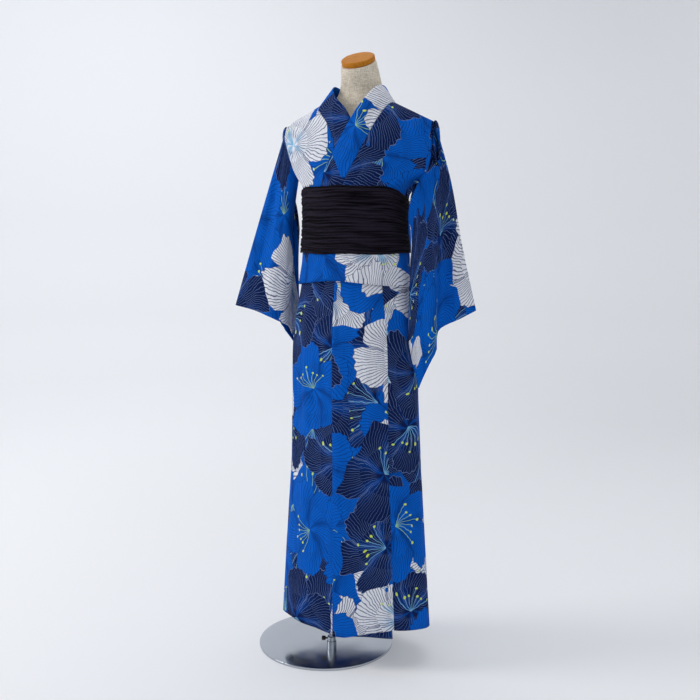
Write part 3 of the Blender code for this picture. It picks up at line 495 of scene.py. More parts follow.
def creases(table, x, y, scale):
    """Sum of the soft troughs and ridges of a table at a place. scale turns x and y into metres."""
    total = 0.0
    for x1, y1, x2, y2, width, move in table:
        dx, dy = (x2 - x1) * scale[0], (y2 - y1) * scale[1]
        px, py = (x - x1) * scale[0], (y - y1) * scale[1]
        length = dx * dx + dy * dy
        share = min(1.0, max(0.0, (px * dx + py * dy) / length))
        bend = CREASE_BEND * width * math.sin(9 * share + 40 * x1)
        off = (px * dy - py * dx) / math.sqrt(length) - bend
        beyond = (px * dx + py * dy) / length - share
        away = off * off + beyond * beyond * length
        if away < (CREASE_REACH * width) ** 2:
            fade = math.sin(math.pi * (CREASE_ENDS + (1 - 2 * CREASE_ENDS) * share)) ** CREASE_FADE
            total += move * math.exp(-away / (width * width)) * fade
    return total * bpy.context.scene.yukata_sizes.crease_depth


def drape(angle, z):
    """Broad upright folds of the hanging skirt, the same as the solid's."""
    free = 1 - smooth(z, *FOLDS_FADE)
    fuller = LEFT_FULLER * max(0.0, math.sin(angle)) ** 2 * (1 - smooth(z, *FULLER_FADE))
    waves = sum(high * math.cos(count * angle + phase) for high, count, phase in SKIRT_WAVES)
    tucks = 0.0
    for at, deep, wide in SKIRT_TUCKS:
        tucks += deep * math.exp(-(((angle - math.radians(at)) / wide) ** 2))
    return fuller + free * (waves - tucks)


def skirt_point(angle, z, level):
    """Point on the outer face of a skirt layer."""
    turned = (math.degrees(angle) + 180) % 360 - 180
    out = (level - 1) * LAYER + drape(angle, z)
    out += creases(SKIRT_CREASES, turned, z, SKIRT_SCALE) * (1 - smooth(z, *SKIRT_HELD))
    half_width = along(SKIRT_RINGS, z, 1) + out
    half_depth = along(SKIRT_RINGS, z, 2) + out
    return Vector((BODY_X + half_width * math.sin(angle), BODY_Y - half_depth * math.cos(angle), z))


def ridge_height(angle):
    """Height of the shoulder line at the place across that an angle stands for."""
    x = RIDGE_HALF * abs(math.sin(angle))
    return NECK_HEIGHT - SHOULDER_SLOPE * (x - NECK_X) - NAPE_DIP * max(0.0, NAPE_X - x) ** 2


def fold_low(angle):
    """Height of the fold below the sash at an angle from the front middle."""
    return straight(WAIST_FOLD, math.degrees(angle), 1)


def armhole_open(across):
    """Half of the armhole's width, by distance across the sleeve from the top of the shoulder."""
    return ARMHOLE_HALF * math.sin(math.pi * min(1.0, across)) ** ARMHOLE_POWER


def bodice_point(angle, run, level, puff=0.0, blouse=0.0):
    """Point on the bodice: run 0 at the fold below the sash, 1 on the shoulder line, 2 at the back's fold."""
    front = run <= 1
    k = run if front else 2 - run
    side = -1 if front else 1
    out = (level - 1) * LAYER
    aside = smooth(abs(math.sin(angle)), *BLOUSE_ASIDE)
    from_front = math.degrees(abs(angle)) if front else 180 - math.degrees(abs(angle))
    sash_top = SASH_HIGH - along(SASH_EDGE, from_front, 1) + BLOUSE_START[front]
    if k <= 0.5:
        low = fold_low(angle if front else math.copysign(math.pi, angle) - angle)
        z = low + (BODICE_LOW - low) * k / 0.5
        out += puff * (1 - smooth(z - low, *FOLD_FADE))
        half_width = along(SKIRT_RINGS, z, 1) + out
        half_depth = along(SKIRT_RINGS, z, 2) + out
        open_side = SIDE_OPEN * smooth(z, SIDE_OPEN_FROM, BODICE_LOW)
        y = side * (half_depth * math.cos(angle) + open_side * abs(math.sin(angle)) ** SIDE_POWER)
        half_width += blouse * aside * smooth(z, sash_top, sash_top + BLOUSE_RISE)
        return Vector((BODY_X + half_width * math.sin(angle), BODY_Y + y, z))
    turn = (k - 0.5) * math.pi
    base_width = along(SKIRT_RINGS, BODICE_LOW, 1) + out
    base_depth = along(SKIRT_RINGS, BODICE_LOW, 2) + out
    lift = (level - BODICE_UNDER) * LAYER
    share = math.sin(turn) ** (2 / ARCH_POWER)
    z = BODICE_LOW + (ridge_height(angle) + lift - BODICE_LOW) * share
    half_width = base_width + (RIDGE_HALF + lift - base_width) * math.sin(share * math.pi / 2)
    full = smooth(z, sash_top, sash_top + BLOUSE_RISE) * (1 - smooth(share, *BLOUSE_FADE))
    half_width += blouse * full * aside
    depth = base_depth * max(0.0, math.cos(turn)) ** (2 / ARCH_POWER)
    open_side = max(armhole_open((1 - k) * ARMHOLE_SHARE), SIDE_OPEN * (1 - share))
    y = side * (depth * math.cos(angle) + open_side * abs(math.sin(angle)) ** SIDE_POWER)
    return Vector((BODY_X + half_width * math.sin(angle), BODY_Y + RIDGE_Y * share + y, z))


def bodice_place(x, z, side):
    """Angle and run of the bodice where it crosses a given x and z."""
    angle, k = math.asin(max(-1.0, min(1.0, x / RIDGE_HALF))), 0.75
    for _ in range(60):
        if z <= BODICE_LOW:
            low = fold_low(angle)
            k = 0.5 * (z - low) / (BODICE_LOW - low)
        else:
            share = min(1.0, (z - BODICE_LOW) / (ridge_height(angle) - BODICE_LOW))
            k = 0.5 + math.asin(share ** (ARCH_POWER / 2)) / math.pi
        width = bodice_point(math.pi / 2, k, BODICE_UNDER).x - BODY_X
        angle += 0.5 * (math.asin(max(-1.0, min(1.0, x / width))) - angle)
    return angle, k if side == "front" else 2 - k


def collar_course(sign, steps_each=2):
    """Rows of the collar from under the sash to the nape, each with its two edges and lifts."""
    places = []
    for side, seam_x, seam_z, free_x, free_z, back, up, lean in COLLAR_RUN:
        across = lean if sign < 0 else 0.0
        seam = bodice_place(seam_x - across, seam_z, side)
        free = bodice_place(free_x - across, free_z, side)
        places.append((len(places), *seam, *free, back, up))
    steps = steps_each * (len(places) - 1)
    return [[along(places, i / steps_each, column) for column in range(1, 7)] for i in range(steps + 1)]


def over_level(low, angle):
    """The over layer lies one layer out at the front, and sinks before the left side seam."""
    return low + 1 - smooth(angle, *OVER_FADE)


def bodice_over_level(angle, run):
    """The over front lies further out where the under front is below it, and more so above the sash."""
    near_front = (1 - smooth(angle, *OVER_FADE)) * (1 - smooth(run, *OVER_RUN_FADE))
    return BODICE_UNDER + near_front * (1 + OVER_LIFT * smooth(run, *OVER_LIFT_FROM))


def bodice_crease(angle, run, z):
    """Creases of the bodice in metres, nil where the sash holds it."""
    held = smooth(z, *SASH_HOLDS[0]) * (1 - smooth(z, *SASH_HOLDS[1]))
    edge = smooth(math.pi / 2 - abs(angle), *EDGE_CALM)
    total = creases(BODICE_CREASES, math.degrees(abs(angle)), run, BODICE_SCALE)
    return total * (1 - held) * edge


def sleeve_middle(table, down, across):
    """Point on the middle surface of a sleeve, by cubic curves through the table both ways."""
    levels = sorted({row[0] for row in table})
    lines = []
    for level in levels:
        rows = [row[1:] for row in table if row[0] == level]
        lines.append((level, *(along(rows, across, column) for column in (1, 2, 3))))
    x, y, z = (along(lines, down, column) for column in (1, 2, 3))
    return Vector((BODY_X + x, BODY_Y + y, z))


def sleeve_place(table, sign, down, across):
    """Middle of a sleeve, which meets the armhole of the bodice at its upper inner end."""
    point = sleeve_middle(table, down, across)
    hold = (1 - smooth(down, 0.0, HELD_SHARE)) * (1 - smooth(across, ATTACHED[sign], RELEASED[sign]))
    k = 1 - min(across, ATTACHED[sign]) / ARMHOLE_SHARE
    front = bodice_point(math.pi / 2, k, BODICE_UNDER, 0.0, BLOUSE[sign])
    back = bodice_point(math.pi / 2, 2 - k, BODICE_UNDER, 0.0, BLOUSE[sign])
    seam = (front + back) / 2
    seam.x = BODY_X + sign * (seam.x - BODY_X + SLEEVE_SET[sign])
    return point.lerp(seam, hold)


def link(name, mesh):
    """Makes one object of a mesh and rides it on the root."""
    made = bpy.data.objects.new(name, mesh)
    bpy.context.scene.collection.objects.link(made)
    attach(made, "root")
    return made


def lengths(points, closed=False):
    """Running length along a row of points."""
    out = [0.0]
    for a, b in zip(points, points[1:] + points[:1] if closed else points[1:]):
        out.append(out[-1] + (b - a).length)
    return out


def cloth(name, grid, thick, corner, ring=False, centre=None):
    """Thin shell on a grid of outer points, with the cloth's own metres as its UV map.

    corner is where the cut starts on the printed cloth. centre gives a point inside each row.
    """
    rows, columns = len(grid), len(grid[0])
    mesh = bpy.data.meshes.new(name)
    points = [point for row in grid for point in row]
    last = columns if ring else columns - 1
    faces, marks = [], []
    widths = [lengths(row, ring) for row in grid]
    heights = [0.0]
    for low, high in zip(grid, grid[1:]):
        step = sum((b - a).length for a, b in zip(low, high)) / columns
        heights.append(heights[-1] + step)

    def mark(i, j):
        middle = widths[i][-1] / 2
        return (corner[0] + widths[i][j] - middle, corner[1] + heights[i])

    for i in range(rows - 1):
        for j in range(last):
            k = (j + 1) % columns
            faces.append((i * columns + j, i * columns + k, (i + 1) * columns + k, (i + 1) * columns + j))
            marks.append((mark(i, j), mark(i, j + 1), mark(i + 1, j + 1), mark(i + 1, j)))
    mid = faces[(rows // 2) * last + last // 2]
    a, b, c, d = (points[n] for n in mid)
    normal = (c - a).cross(d - b)
    row = grid[rows // 2]
    if centre is None:
        inside = sum(row, Vector()) / columns if ring else Vector((BODY_X, BODY_Y, a.z))
    else:
        inside = centre
    if normal.dot((a + c) / 2 - inside) < 0:
        faces = [face[::-1] for face in faces]
        marks = [corners[::-1] for corners in marks]
    mesh.from_pydata(points, [], faces)
    layer = mesh.uv_layers.new(name="cut")
    for polygon, corners in zip(mesh.polygons, marks):
        for loop, place in zip(polygon.loop_indices, corners):
            layer.data[loop].uv = place
    mesh.shade_smooth()
    made = link(name, mesh)
    shell = made.modifiers.new("cloth thickness", "SOLIDIFY")
    shell.thickness = thick
    shell.offset = -1
    shell.use_even_offset = False
    bpy.context.view_layer.objects.active = made
    bpy.ops.object.modifier_apply(modifier=shell.name)
    return made


def fan(start, end, count):
    """Evenly spaced angles with both ends."""
    return [start + (end - start) * k / count for k in range(count + 1)]


def skirt_cloth(name, start, end, hem, level, corner, rows=72, columns=40):
    """One skirt panel between two edge lines, given in degrees at the floor and at the top of the skirt."""
    grid = []
    for i in range(rows):
        share = i / (rows - 1)
        first = math.radians(start[0] + (start[1] - start[0]) * share)
        last = math.radians(end[0] + (end[1] - end[0]) * share)
        row = []
        for angle in fan(first, last, columns):
            low = straight(hem, math.degrees(angle), 1)
            z = low + (HEM_TOP - low) * share
            row.append(skirt_point(angle, z, level(angle)))
        grid.append(row)
    return cloth(name, grid, CLOTH, corner)


def body_cloth(name, sign, level, corner, columns=56):
    """One body panel from the front fold over the shoulder to the back fold."""
    course = collar_course(sign, COURSE_STEPS)
    low_angle = math.radians(OPENING_ANGLE)
    edges = [(low_angle, step / FRONT_STEPS * course[0][1]) for step in range(FRONT_STEPS)]
    edges += [(row[0], row[1]) for row in course]
    nape = course[-1][1]
    edges += [(0.0, nape + (2 - nape) * step / BACK_STEPS) for step in range(1, BACK_STEPS + 1)]
    middle, beside = FOLD_PUFFS[sign]
    grid = []
    for first, run in edges:
        row = []
        for angle in fan(first + SEAM_TURN, math.pi / 2 - SEAM_TURN, columns):
            aside = smooth(angle, *PUFF_FADE) if run < 1 else 1.0
            puff = middle + (beside - middle) * aside
            z = bodice_point(angle, run, BODICE_UNDER).z
            out = level(angle, run) + bodice_crease(angle, run, z) / LAYER
            point = bodice_point(angle, run, out, puff, BLOUSE[sign])
            row.append(Vector((BODY_X + sign * (point.x - BODY_X), point.y, point.z)))
        grid.append(row)
    return cloth(name, grid, CLOTH, corner)


def collar_cloth(name, sign, level, corner, columns=14):
    """Half of the collar band, a folded strip with a rolled free edge."""
    grid = []
    for seam_angle, seam_run, free_angle, free_run, back, up in collar_course(sign, 8):
        row = []
        for j in range(columns + 1):
            c = j / columns
            angle = seam_angle - SEAM_TURN + (free_angle - seam_angle) * c
            run = seam_run + (free_run - seam_run) * c
            z = bodice_point(angle, run, BODICE_UNDER).z
            out = level(angle, run) + bodice_crease(angle, run, z) / LAYER * (1 - COLLAR_CALM * c)
            point = bodice_point(angle, run, out)
            point += Vector((0, back * c, up * c))
            x = point.x - BODY_X
            if run > 1:
                x = max(x, SEAM / 2)
            row.append(Vector((BODY_X + sign * x, point.y, point.z)))
        grid.append(row)
    return cloth(name, grid, COLLAR_WALL, corner)


def sleeve_cloth(name, table, sign, corner, rows=90, half=30):
    """Sleeve as a flat pouch with soft folds, open at the cuff and towards the body."""
    across = [(1 - math.cos(math.pi * j / half)) / 2 for j in range(half + 1)]
    middle = []
    for i in range(rows):
        down = i / (rows - 1)
        middle.append([sleeve_place(table, sign, down, a) for a in across])
    grid = []
    for i in range(rows):
        down = i / (rows - 1)
        faces = {1: [], -1: []}
        for j, a in enumerate(across):
            flow = middle[i][min(j + 1, half)] - middle[i][max(j - 1, 0)]
            fall = middle[min(i + 1, rows - 1)][j] - middle[max(i - 1, 0)][j]
            outward = flow.cross(fall).normalized()
            bow = abs(math.sin(math.pi * j / half)) ** ARMHOLE_POWER
            held = 1 - smooth(down, 0.0, HELD_SHARE)
            wide = SLEEVE_HALF_GAP * bow
            wide += (armhole_open(a) - wide) * held * (1 - smooth(a, ATTACHED[sign], ARMHOLE_END))
            for side in (1, -1):
                wave = creases(SLEEVE_CREASES, a, down, SLEEVE_SCALE) * smooth(down, 0.0, SLEEVE_CALM)
                turned = creases(SLEEVE_CREASES, INNER_FROM - a, down * INNER_STRETCH, SLEEVE_SCALE)
                wave += turned * INNER_SHARE * side
                faces[side].append(middle[i][j] + outward * (side * wide + wave))
        grid.append(faces[-1][:0:-1] + faces[1][:-1])
    return cloth(name, grid, CLOTH, corner, ring=True)


def sash_relief(angle, up, high):
    """Move out of the sash's face at a height up from its lower edge, for a band of a given height."""
    out = SASH_OUT + SASH_FACE
    for at, width, depth, wave, phase in SASH_CRINKLES:
        line = at * high
        line += wave * (math.sin(2 * angle + phase) + 0.6 * math.sin(5 * angle + 2 * phase))
        line += wave * 0.35 * math.sin(11 * angle + 3 * phase)
        strong = 0.62 + 0.38 * math.sin(3 * angle + 5 * phase)
        out -= depth * strong * math.exp(-(((up - line) / width) ** 2))
    for spacing, bend, phase, strength in SASH_FINE:
        course = up / spacing
        course += bend * (math.sin(2 * angle + phase) + 0.7 * math.sin(5 * angle + 2 * phase))
        course += bend * 0.5 * math.sin(13 * angle + 3 * phase)
        out += strength * (abs(math.sin(math.pi * course)) - 0.6)
    share = up / high
    out -= SASH_ROLL * (1 - smooth(share, 0.0, 0.025)) + SASH_ROLL * smooth(share, 0.975, 1.0)
    return max(out, SASH_OUT - SASH_DEEPEST)


def sash_cloth(name, rows=150, columns=240):
    """The wound sash: a closed band full of fine crinkles, narrower towards the knot."""
    grid = []
    for i in range(rows):
        share = i / (rows - 1)
        row = []
        for j in range(columns):
            angle = math.tau * j / columns - math.pi
            from_front = math.degrees(abs(angle))
            high = SASH_HIGH - along(SASH_EDGE, from_front, 1)
            low = SASH_LOW + along(SASH_EDGE, from_front, 2)
            high += SASH_SWAY * math.sin(7 * angle + 1.1)
            low += SASH_SWAY * math.sin(6 * angle + 0.4)
            z = low + (high - low) * share
            out = sash_relief(angle, z - low, high - low)
            half_width = along(SKIRT_RINGS, z, 1) + out
            half_depth = along(SKIRT_RINGS, z, 2) + out
            x = BODY_X + half_width * math.sin(angle)
            row.append(Vector((x, BODY_Y - half_depth * math.cos(angle), z)))
        grid.append(row)
    return cloth(name, grid, SASH_SHELL, (0, 0), ring=True)


def sash_back():
    """Y of the sash's outer face at the back middle."""
    return BODY_Y + along(SKIRT_RINGS, SASH_BACK_HEIGHT, 2) + SASH_OUT


def skin(name, rings, smooth_angle=40):
    """Closed piece through rings of points, with its ends filled."""
    mesh = bpy.data.meshes.new(name)
    work = bmesh.new()
    loops = [[work.verts.new(point) for point in ring] for ring in rings]
    count = len(rings[0])
    for low, high in zip(loops, loops[1:]):
        for k in range(count):
            n = (k + 1) % count
            work.faces.new((low[k], low[n], high[n], high[k]))
    work.faces.new(loops[0][::-1])
    work.faces.new(loops[-1])
    bmesh.ops.recalc_face_normals(work, faces=work.faces)
    work.to_mesh(mesh)
    work.free()
    mesh.shade_smooth()
    mesh.set_sharp_from_angle(angle=math.radians(smooth_angle))
    return link(name, mesh)


def knot_piece():
    """The plain knot at the back, with wrapped folds."""
    centre = Vector((BODY_X, sash_back() + KNOT_OFF, KNOT_HEIGHT))
    half = Vector(KNOT_HALF)
    rings = []
    count, around = KNOT_GRID
    for i in range(1, count):
        lat = math.pi * (i / count - 0.5)
        ring = []
        for j in range(around):
            lon = math.tau * j / around
            shape = (math.cos(lat) * math.cos(lon), math.cos(lat) * math.sin(lon), math.sin(lat))
            point = [math.copysign(abs(v) ** KNOT_POWER, v) * h for v, h in zip(shape, half)]
            fold = KNOT_FOLD * math.sin(point[0] * 520 + 3 * math.sin(point[2] * 60)) * math.cos(lat)
            ring.append(centre + Vector((point[0] * (1 + fold), point[1] * (1 + fold), point[2])))
        rings.append(ring)
    return skin("sash_knot_wrap", rings)


def end_cloth(name, sign, length, rows=64, columns=56):
    """One hanging end of the sash, softly fluted and crinkled."""
    grid = []
    for i in range(rows):
        share = i / (rows - 1)
        half = END_HALF[0] + (END_HALF[1] - END_HALF[0]) * share
        middle = BODY_X + sign * (END_ASIDE[0] + (END_ASIDE[1] - END_ASIDE[0]) * share)
        row = []
        for j in range(columns + 1):
            c = 2 * j / columns - 1
            flute = END_FLUTE * math.cos(END_WAVES * math.pi * c + sign) * smooth(share, 0.0, 0.4)
            flute += END_CRINKLE * math.sin(21 * c + 2 * math.sin(9 * share) + sign) * (1 - 0.5 * share)
            y = sash_back() + END_OFF + END_LEAN * (1 - share) + flute
            low = END_UNEVEN * math.cos(5 * c + sign) * share
            row.append(Vector((middle + half * c, y, END_TOP - length * share - low)))
        grid.append(row)
    return cloth(name, grid, CLOTH, (0, 0), centre=END_MIDDLE)


def form_piece():
    """Linen form with round shoulders and a neck that leans forward."""
    rings = []
    heights = list(FORM_RIM)
    for start, step, count in (FORM_TRUNK, FORM_SHOULDERS):
        heights += [start + step * k for k in range(count)]
    heights += [NECK_TOP - below for below in NECK_ROUND] + [NECK_TOP]
    for z in heights:
        half_width, half_depth, middle = (along(FORM_RINGS, z, column) for column in (1, 2, 3))
        tilt = smooth(z, NECK_TILT_FROM, NECK_TOP) * math.tan(CAP_TILT)
        tuck = NECK_TUCK * smooth(z, NECK_TOP - NECK_ROUND[0], NECK_TOP)
        ring = []
        for k in range(FORM_AROUND):
            angle = math.tau * k / FORM_AROUND
            x, y = (half_width - tuck) * math.sin(angle), -(half_depth - tuck) * math.cos(angle)
            ring.append((BODY_X + x, BODY_Y + middle + y, z + y * tilt))
        rings.append(ring)
    return skin("form_cover", rings, 50)


def pick(mesh, kind, wanted):
    """Selects only the edges or faces for which wanted is true."""
    bpy.ops.object.mode_set(mode="EDIT")
    bpy.ops.mesh.select_mode(type="VERT")
    bpy.ops.mesh.select_all(action="DESELECT")
    bpy.ops.mesh.select_mode(type=kind)
    bpy.ops.object.mode_set(mode="OBJECT")
    for part in mesh.edges if kind == "EDGE" else mesh.polygons:
        part.select = wanted(part)
    bpy.ops.object.mode_set(mode="EDIT")


def rounded_plate(name, radius, thick, edge, place, tilt=0.0, crown=0.0, sides=160):
    """Round plate whose rims are rounded by edge. Its top rises by crown, and it leans forward by tilt."""
    bpy.ops.object.select_all(action="DESELECT")
    middle = (0, 0, thick / 2)
    bpy.ops.mesh.primitive_cylinder_add(vertices=sides, radius=radius, depth=thick, location=middle)
    made = bpy.context.object
    made.name = name
    made.data.name = name
    mesh = made.data

    def is_rim(part):
        first, second = (mesh.vertices[n].co.z for n in part.vertices)
        return abs(first - second) < thick / 2

    pick(mesh, "EDGE", is_rim)
    bpy.ops.mesh.bevel(offset=edge, segments=5, profile=0.5, affect="EDGES")
    bpy.ops.object.mode_set(mode="OBJECT")
    pick(mesh, "FACE", lambda face: face.normal.z > 0.99 and face.area > radius * radius)
    bpy.ops.mesh.inset(thickness=radius * 0.3, depth=crown * 0.6)
    bpy.ops.mesh.inset(thickness=radius * 0.3, depth=crown * 0.4)
    bpy.ops.object.mode_set(mode="OBJECT")
    made.rotation_euler.x = tilt
    bpy.ops.object.transform_apply(location=True, rotation=True, scale=True)
    made.location = place
    bpy.ops.object.transform_apply(location=True, rotation=True, scale=True)
    bpy.ops.object.shade_smooth_by_angle(angle=math.radians(PLATE_SMOOTH))
    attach(made, "root")
    return made


def floor_bowl(name):
    """Floor that sweeps up all round, drawn out of a flat circle rim by rim."""
    bpy.ops.object.select_all(action="DESELECT")
    width, low = FLOOR_ROWS[0]
    middle = (0, 0, low)
    bpy.ops.mesh.primitive_circle_add(vertices=FLOOR_SIDES, radius=width, fill_type="NGON", location=middle)
    made = bpy.context.object
    made.name = name
    made.data.name = name
    bpy.ops.object.transform_apply(location=True, rotation=True, scale=True)
    pick(made.data, "EDGE", lambda part: True)
    for radius, height in FLOOR_ROWS[1:]:
        bpy.ops.mesh.extrude_edges_move(TRANSFORM_OT_translate={"value": (0, 0, height - low)})
        grow = radius / width
        bpy.ops.transform.resize(value=(grow, grow, 1), center_override=(0, 0, 0))
        width, low = radius, height
    bpy.ops.object.mode_set(mode="OBJECT")
    bpy.ops.object.shade_smooth_by_angle(angle=math.radians(FLOOR_SMOOTH))
    return made


class Graph:
    """Short names for adding shader nodes to one tree."""

    def __init__(self, tree):
        self.tree = tree

    def add(self, kind, **settings):
        """New node with its settings."""
        node = self.tree.nodes.new(kind)
        for key, value in settings.items():
            setattr(node, key, value)
        return node

    def put(self, socket, value):
        """Plugs another socket in, or sets a plain value."""
        if isinstance(value, bpy.types.NodeSocket):
            self.tree.links.new(value, socket)
        else:
            socket.default_value = value

    def math(self, operation, *values):
        node = self.add("ShaderNodeMath", operation=operation)
        for socket, value in zip(node.inputs, values):
            self.put(socket, value)
        return node.outputs[0]

    def times(self, a, b):
        return self.math("MULTIPLY", a, b)

    def plus(self, a, b):
        return self.math("ADD", a, b)

    def minus(self, a, b):
        return self.math("SUBTRACT", a, b)

    def over(self, a, b):
        return self.math("DIVIDE", a, b)

    def size(self, a):
        return self.math("ABSOLUTE", a)

    def vector(self, operation, a, b):
        node = self.add("ShaderNodeVectorMath", operation=operation)
        self.put(node.inputs[0], a)
        self.put(node.inputs["Scale" if operation == "SCALE" else 1], b)
        return node.outputs[0]

    def split(self, vector):
        node = self.add("ShaderNodeSeparateXYZ")
        self.put(node.inputs[0], vector)
        return node.outputs

    def mix(self, share, a, b):
        node = self.add("ShaderNodeMix", data_type="RGBA")
        self.put(node.inputs[0], share)
        self.put(node.inputs[6], a)
        self.put(node.inputs[7], b)
        return node.outputs[2]

    def step(self, value, low, high, low_to=0.0, high_to=1.0):
        """Soft step of a value from low_to below low to high_to above high."""
        node = self.add("ShaderNodeMapRange", interpolation_type="SMOOTHSTEP")
        for index, item in enumerate((value, low, high, low_to, high_to)):
            self.put(node.inputs[index], item)
        return node.outputs[0]

    def noise(self, vector, scale, detail=2.0, roughness=0.5, output=0):
        node = self.add("ShaderNodeTexNoise")
        self.put(node.inputs["Vector"], vector)
        self.put(node.inputs["Scale"], scale)
        node.inputs["Detail"].default_value = detail
        node.inputs["Roughness"].default_value = roughness
        return node.outputs[output]

    def bump(self, height, strength, distance, normal=None):
        node = self.add("ShaderNodeBump")
        node.inputs["Strength"].default_value = strength
        node.inputs["Distance"].default_value = distance
        self.put(node.inputs["Height"], height)
        if normal is not None:
            self.put(node.inputs["Normal"], normal)
        return node.outputs[0]


def new_material(name):
    """Empty material: its graph and its main shader."""
    made = bpy.data.materials.new(name)
    made.use_nodes = True
    return made, Graph(made.node_tree), made.node_tree.nodes["Principled BSDF"]


def flower_layer(g, place, corner, cell, reach, keep, fill=False):
    """Colour and mask of one layer of ruffled flowers, one to a cell of cloth.

    place is the cut in metres, cell the flowers' spacing, reach the petals' length and keep the share of
    cells that hold a flower. fill lets the petals run on to the next flower.
    """
    moved = g.vector("ADD", place, corner)
    sway = g.vector("SUBTRACT", g.noise(moved, SWAY_SCALE, 1.0, output=1), (0.5, 0.5, 0.5))
    ruffle = g.vector("SUBTRACT", g.noise(moved, RUFFLE_SCALE, 2.0, output=1), (0.5, 0.5, 0.5))
    warped = g.vector("ADD", moved, g.vector("SCALE", sway, SWAY))
    warped = g.vector("ADD", warped, g.vector("SCALE", ruffle, RUFFLE))
    cells = g.add("ShaderNodeTexVoronoi", voronoi_dimensions="2D", feature="F1")
    g.put(cells.inputs["Vector"], g.vector("SCALE", warped, 1 / cell))
    cells.inputs["Scale"].default_value = 1.0
    cells.inputs["Randomness"].default_value = LOOSENESS
    centre = g.vector("SCALE", cells.outputs["Position"], cell)
    x, y, _ = g.split(g.vector("SUBTRACT", warped, centre))
    chance = g.add("ShaderNodeSeparateColor")
    g.put(chance.inputs[0], cells.outputs["Color"])
    lot, spin, kind = chance.outputs

    # Outline: five or six petals, each with a notch beside it and a scalloped edge
    away = g.math("SQRT", g.plus(g.times(x, x), g.times(y, y)))
    angle = g.plus(g.math("ARCTAN2", y, x), g.times(spin, math.tau))
    angle = g.plus(angle, g.times(away, TWIST))
    petals = g.plus(g.math("GREATER_THAN", kind, 0.5), 5.0)
    course = g.times(angle, g.over(petals, math.tau))
    turn = g.minus(g.math("FRACT", course), 0.5)
    side = g.times(g.size(turn), 2.0)
    round_off = g.math("SQRT", g.minus(1.0, g.times(g.math("POWER", side, 3.0), NOTCH)))
    scallop = g.times(g.math("SINE", g.times(course, SCALLOPS * math.tau)), SCALLOP)
    beyond = g.minus(g.times(g.plus(round_off, scallop), reach), away)
    mask = g.step(beyond, -0.0003, 0.0003)
    mask = g.times(mask, g.math("LESS_THAN", lot, keep))
    rim = g.step(g.size(g.minus(beyond, 0.0006)), 0.0005, 0.0011, 1.0, 0.0)

    # Veins and the line between two petals
    is_white = g.math("GREATER_THAN", lot, keep * WHITE_ABOVE)
    is_navy = g.math("LESS_THAN", lot, keep * NAVY_BELOW)
    share = g.over(away, reach)
    per_petal = g.plus(g.times(g.math("GREATER_THAN", away, FINE_FROM), VEINS), VEINS)
    line = g.size(g.minus(g.math("FRACT", g.times(turn, per_petal)), 0.5))
    line = g.times(line, g.over(g.over(g.times(away, math.tau), petals), per_petal))
    bold = g.minus(0.00085, g.times(is_navy, 0.00035))
    bold = g.plus(bold, g.times(is_white, 0.00055))
    vein = g.times(g.step(line, 0.00025, bold, 1.0, 0.0), g.step(away, 0.016, 0.03))
    between = g.times(g.minus(1.0, side), g.over(g.times(away, math.pi), petals))
    between = g.times(g.step(between, 0.0005, 0.0012, 1.0, 0.0), g.step(share, 0.25, 0.4))
    drawn = g.math("MAXIMUM", g.math("MAXIMUM", vein, between), rim if not fill else 0.0)

    # Petal colours, deeper beside each notch and bluer in the throat of a white one
    throat = g.step(share, 0.10, 0.55, 1.0, 0.0)
    petal = g.mix(is_white, g.mix(is_navy, COBALT, NAVY), WHITE)
    shade = g.times(g.times(g.step(side, 0.25, 1.0), 0.95), g.step(share, 0.1, 0.9, 1.0, 0.0))
    petal = g.mix(g.times(shade, g.minus(1.0, is_white)), petal, COBALT_DEEP)
    glow = g.times(throat, g.times(is_white, 0.8))
    petal = g.mix(g.times(glow, g.step(side, 0.1, 0.9)), petal, SKY)
    ink = g.mix(is_navy, g.mix(is_white, COBALT_INK, VEIN_BLUE), LILAC)
    strength = g.plus(g.times(g.minus(is_white, g.times(is_navy, 0.45)), 0.15), 0.78)
    color = g.mix(g.times(drawn, strength), petal, ink)

    # Stalks with round tips, fanned out from the throat
    spread = g.minus(g.math("FRACT", g.over(angle, math.tau)), 0.5)
    spread = g.times(spread, math.tau)
    slot = g.math("ROUND", g.over(spread, STALK_TURN))
    off = g.times(g.math("SINE", g.minus(spread, g.times(slot, STALK_TURN))), away)
    long = g.plus(g.times(g.math("COSINE", g.times(slot, 2.1)), 0.010), reach * 0.42)
    inside = g.math("LESS_THAN", g.size(slot), STALK_COUNT / 2)
    stalk = g.step(g.size(off), 0.0004, 0.0009, 1.0, 0.0)
    stalk = g.times(g.times(stalk, g.math("LESS_THAN", away, long)), inside)
    gap = g.minus(away, long)
    tip = g.math("SQRT", g.plus(g.times(gap, gap), g.times(off, off)))
    tip = g.times(g.step(tip, 0.0026, 0.0034, 1.0, 0.0), inside)
    color = g.mix(stalk, color, g.mix(g.math("MAXIMUM", is_white, is_navy), STALK, SKY))
    return g.mix(tip, color, ANTHER), mask


def printed_group():
    """Node group that gives the colour of the printed cotton at a place on the cut."""
    tree = bpy.data.node_groups.new("printed flowers", "ShaderNodeTree")
    tree.interface.new_socket("Vector", in_out="INPUT", socket_type="NodeSocketVector")
    tree.interface.new_socket("Color", in_out="OUTPUT", socket_type="NodeSocketColor")
    g = Graph(tree)
    flat = g.vector("MULTIPLY", g.add("NodeGroupInput").outputs[0], (1, 1, 0))
    color, _ = flower_layer(g, flat, *GROUND_LAYER, fill=True)
    for layer in TOP_LAYERS:
        top, mask = flower_layer(g, flat, *layer)
        color = g.mix(mask, color, top)
    g.put(g.add("NodeGroupOutput").inputs[0], color)
    return tree


def coat(g, shader, color, rough, specular, normal):
    """Plugs a material's colour, roughness, shine and relief into its shader."""
    names = ("Base Color", "Roughness", "Specular IOR Level", "Normal")
    for name, value in zip(names, (color, rough, specular, normal)):
        g.put(shader.inputs[name], value)


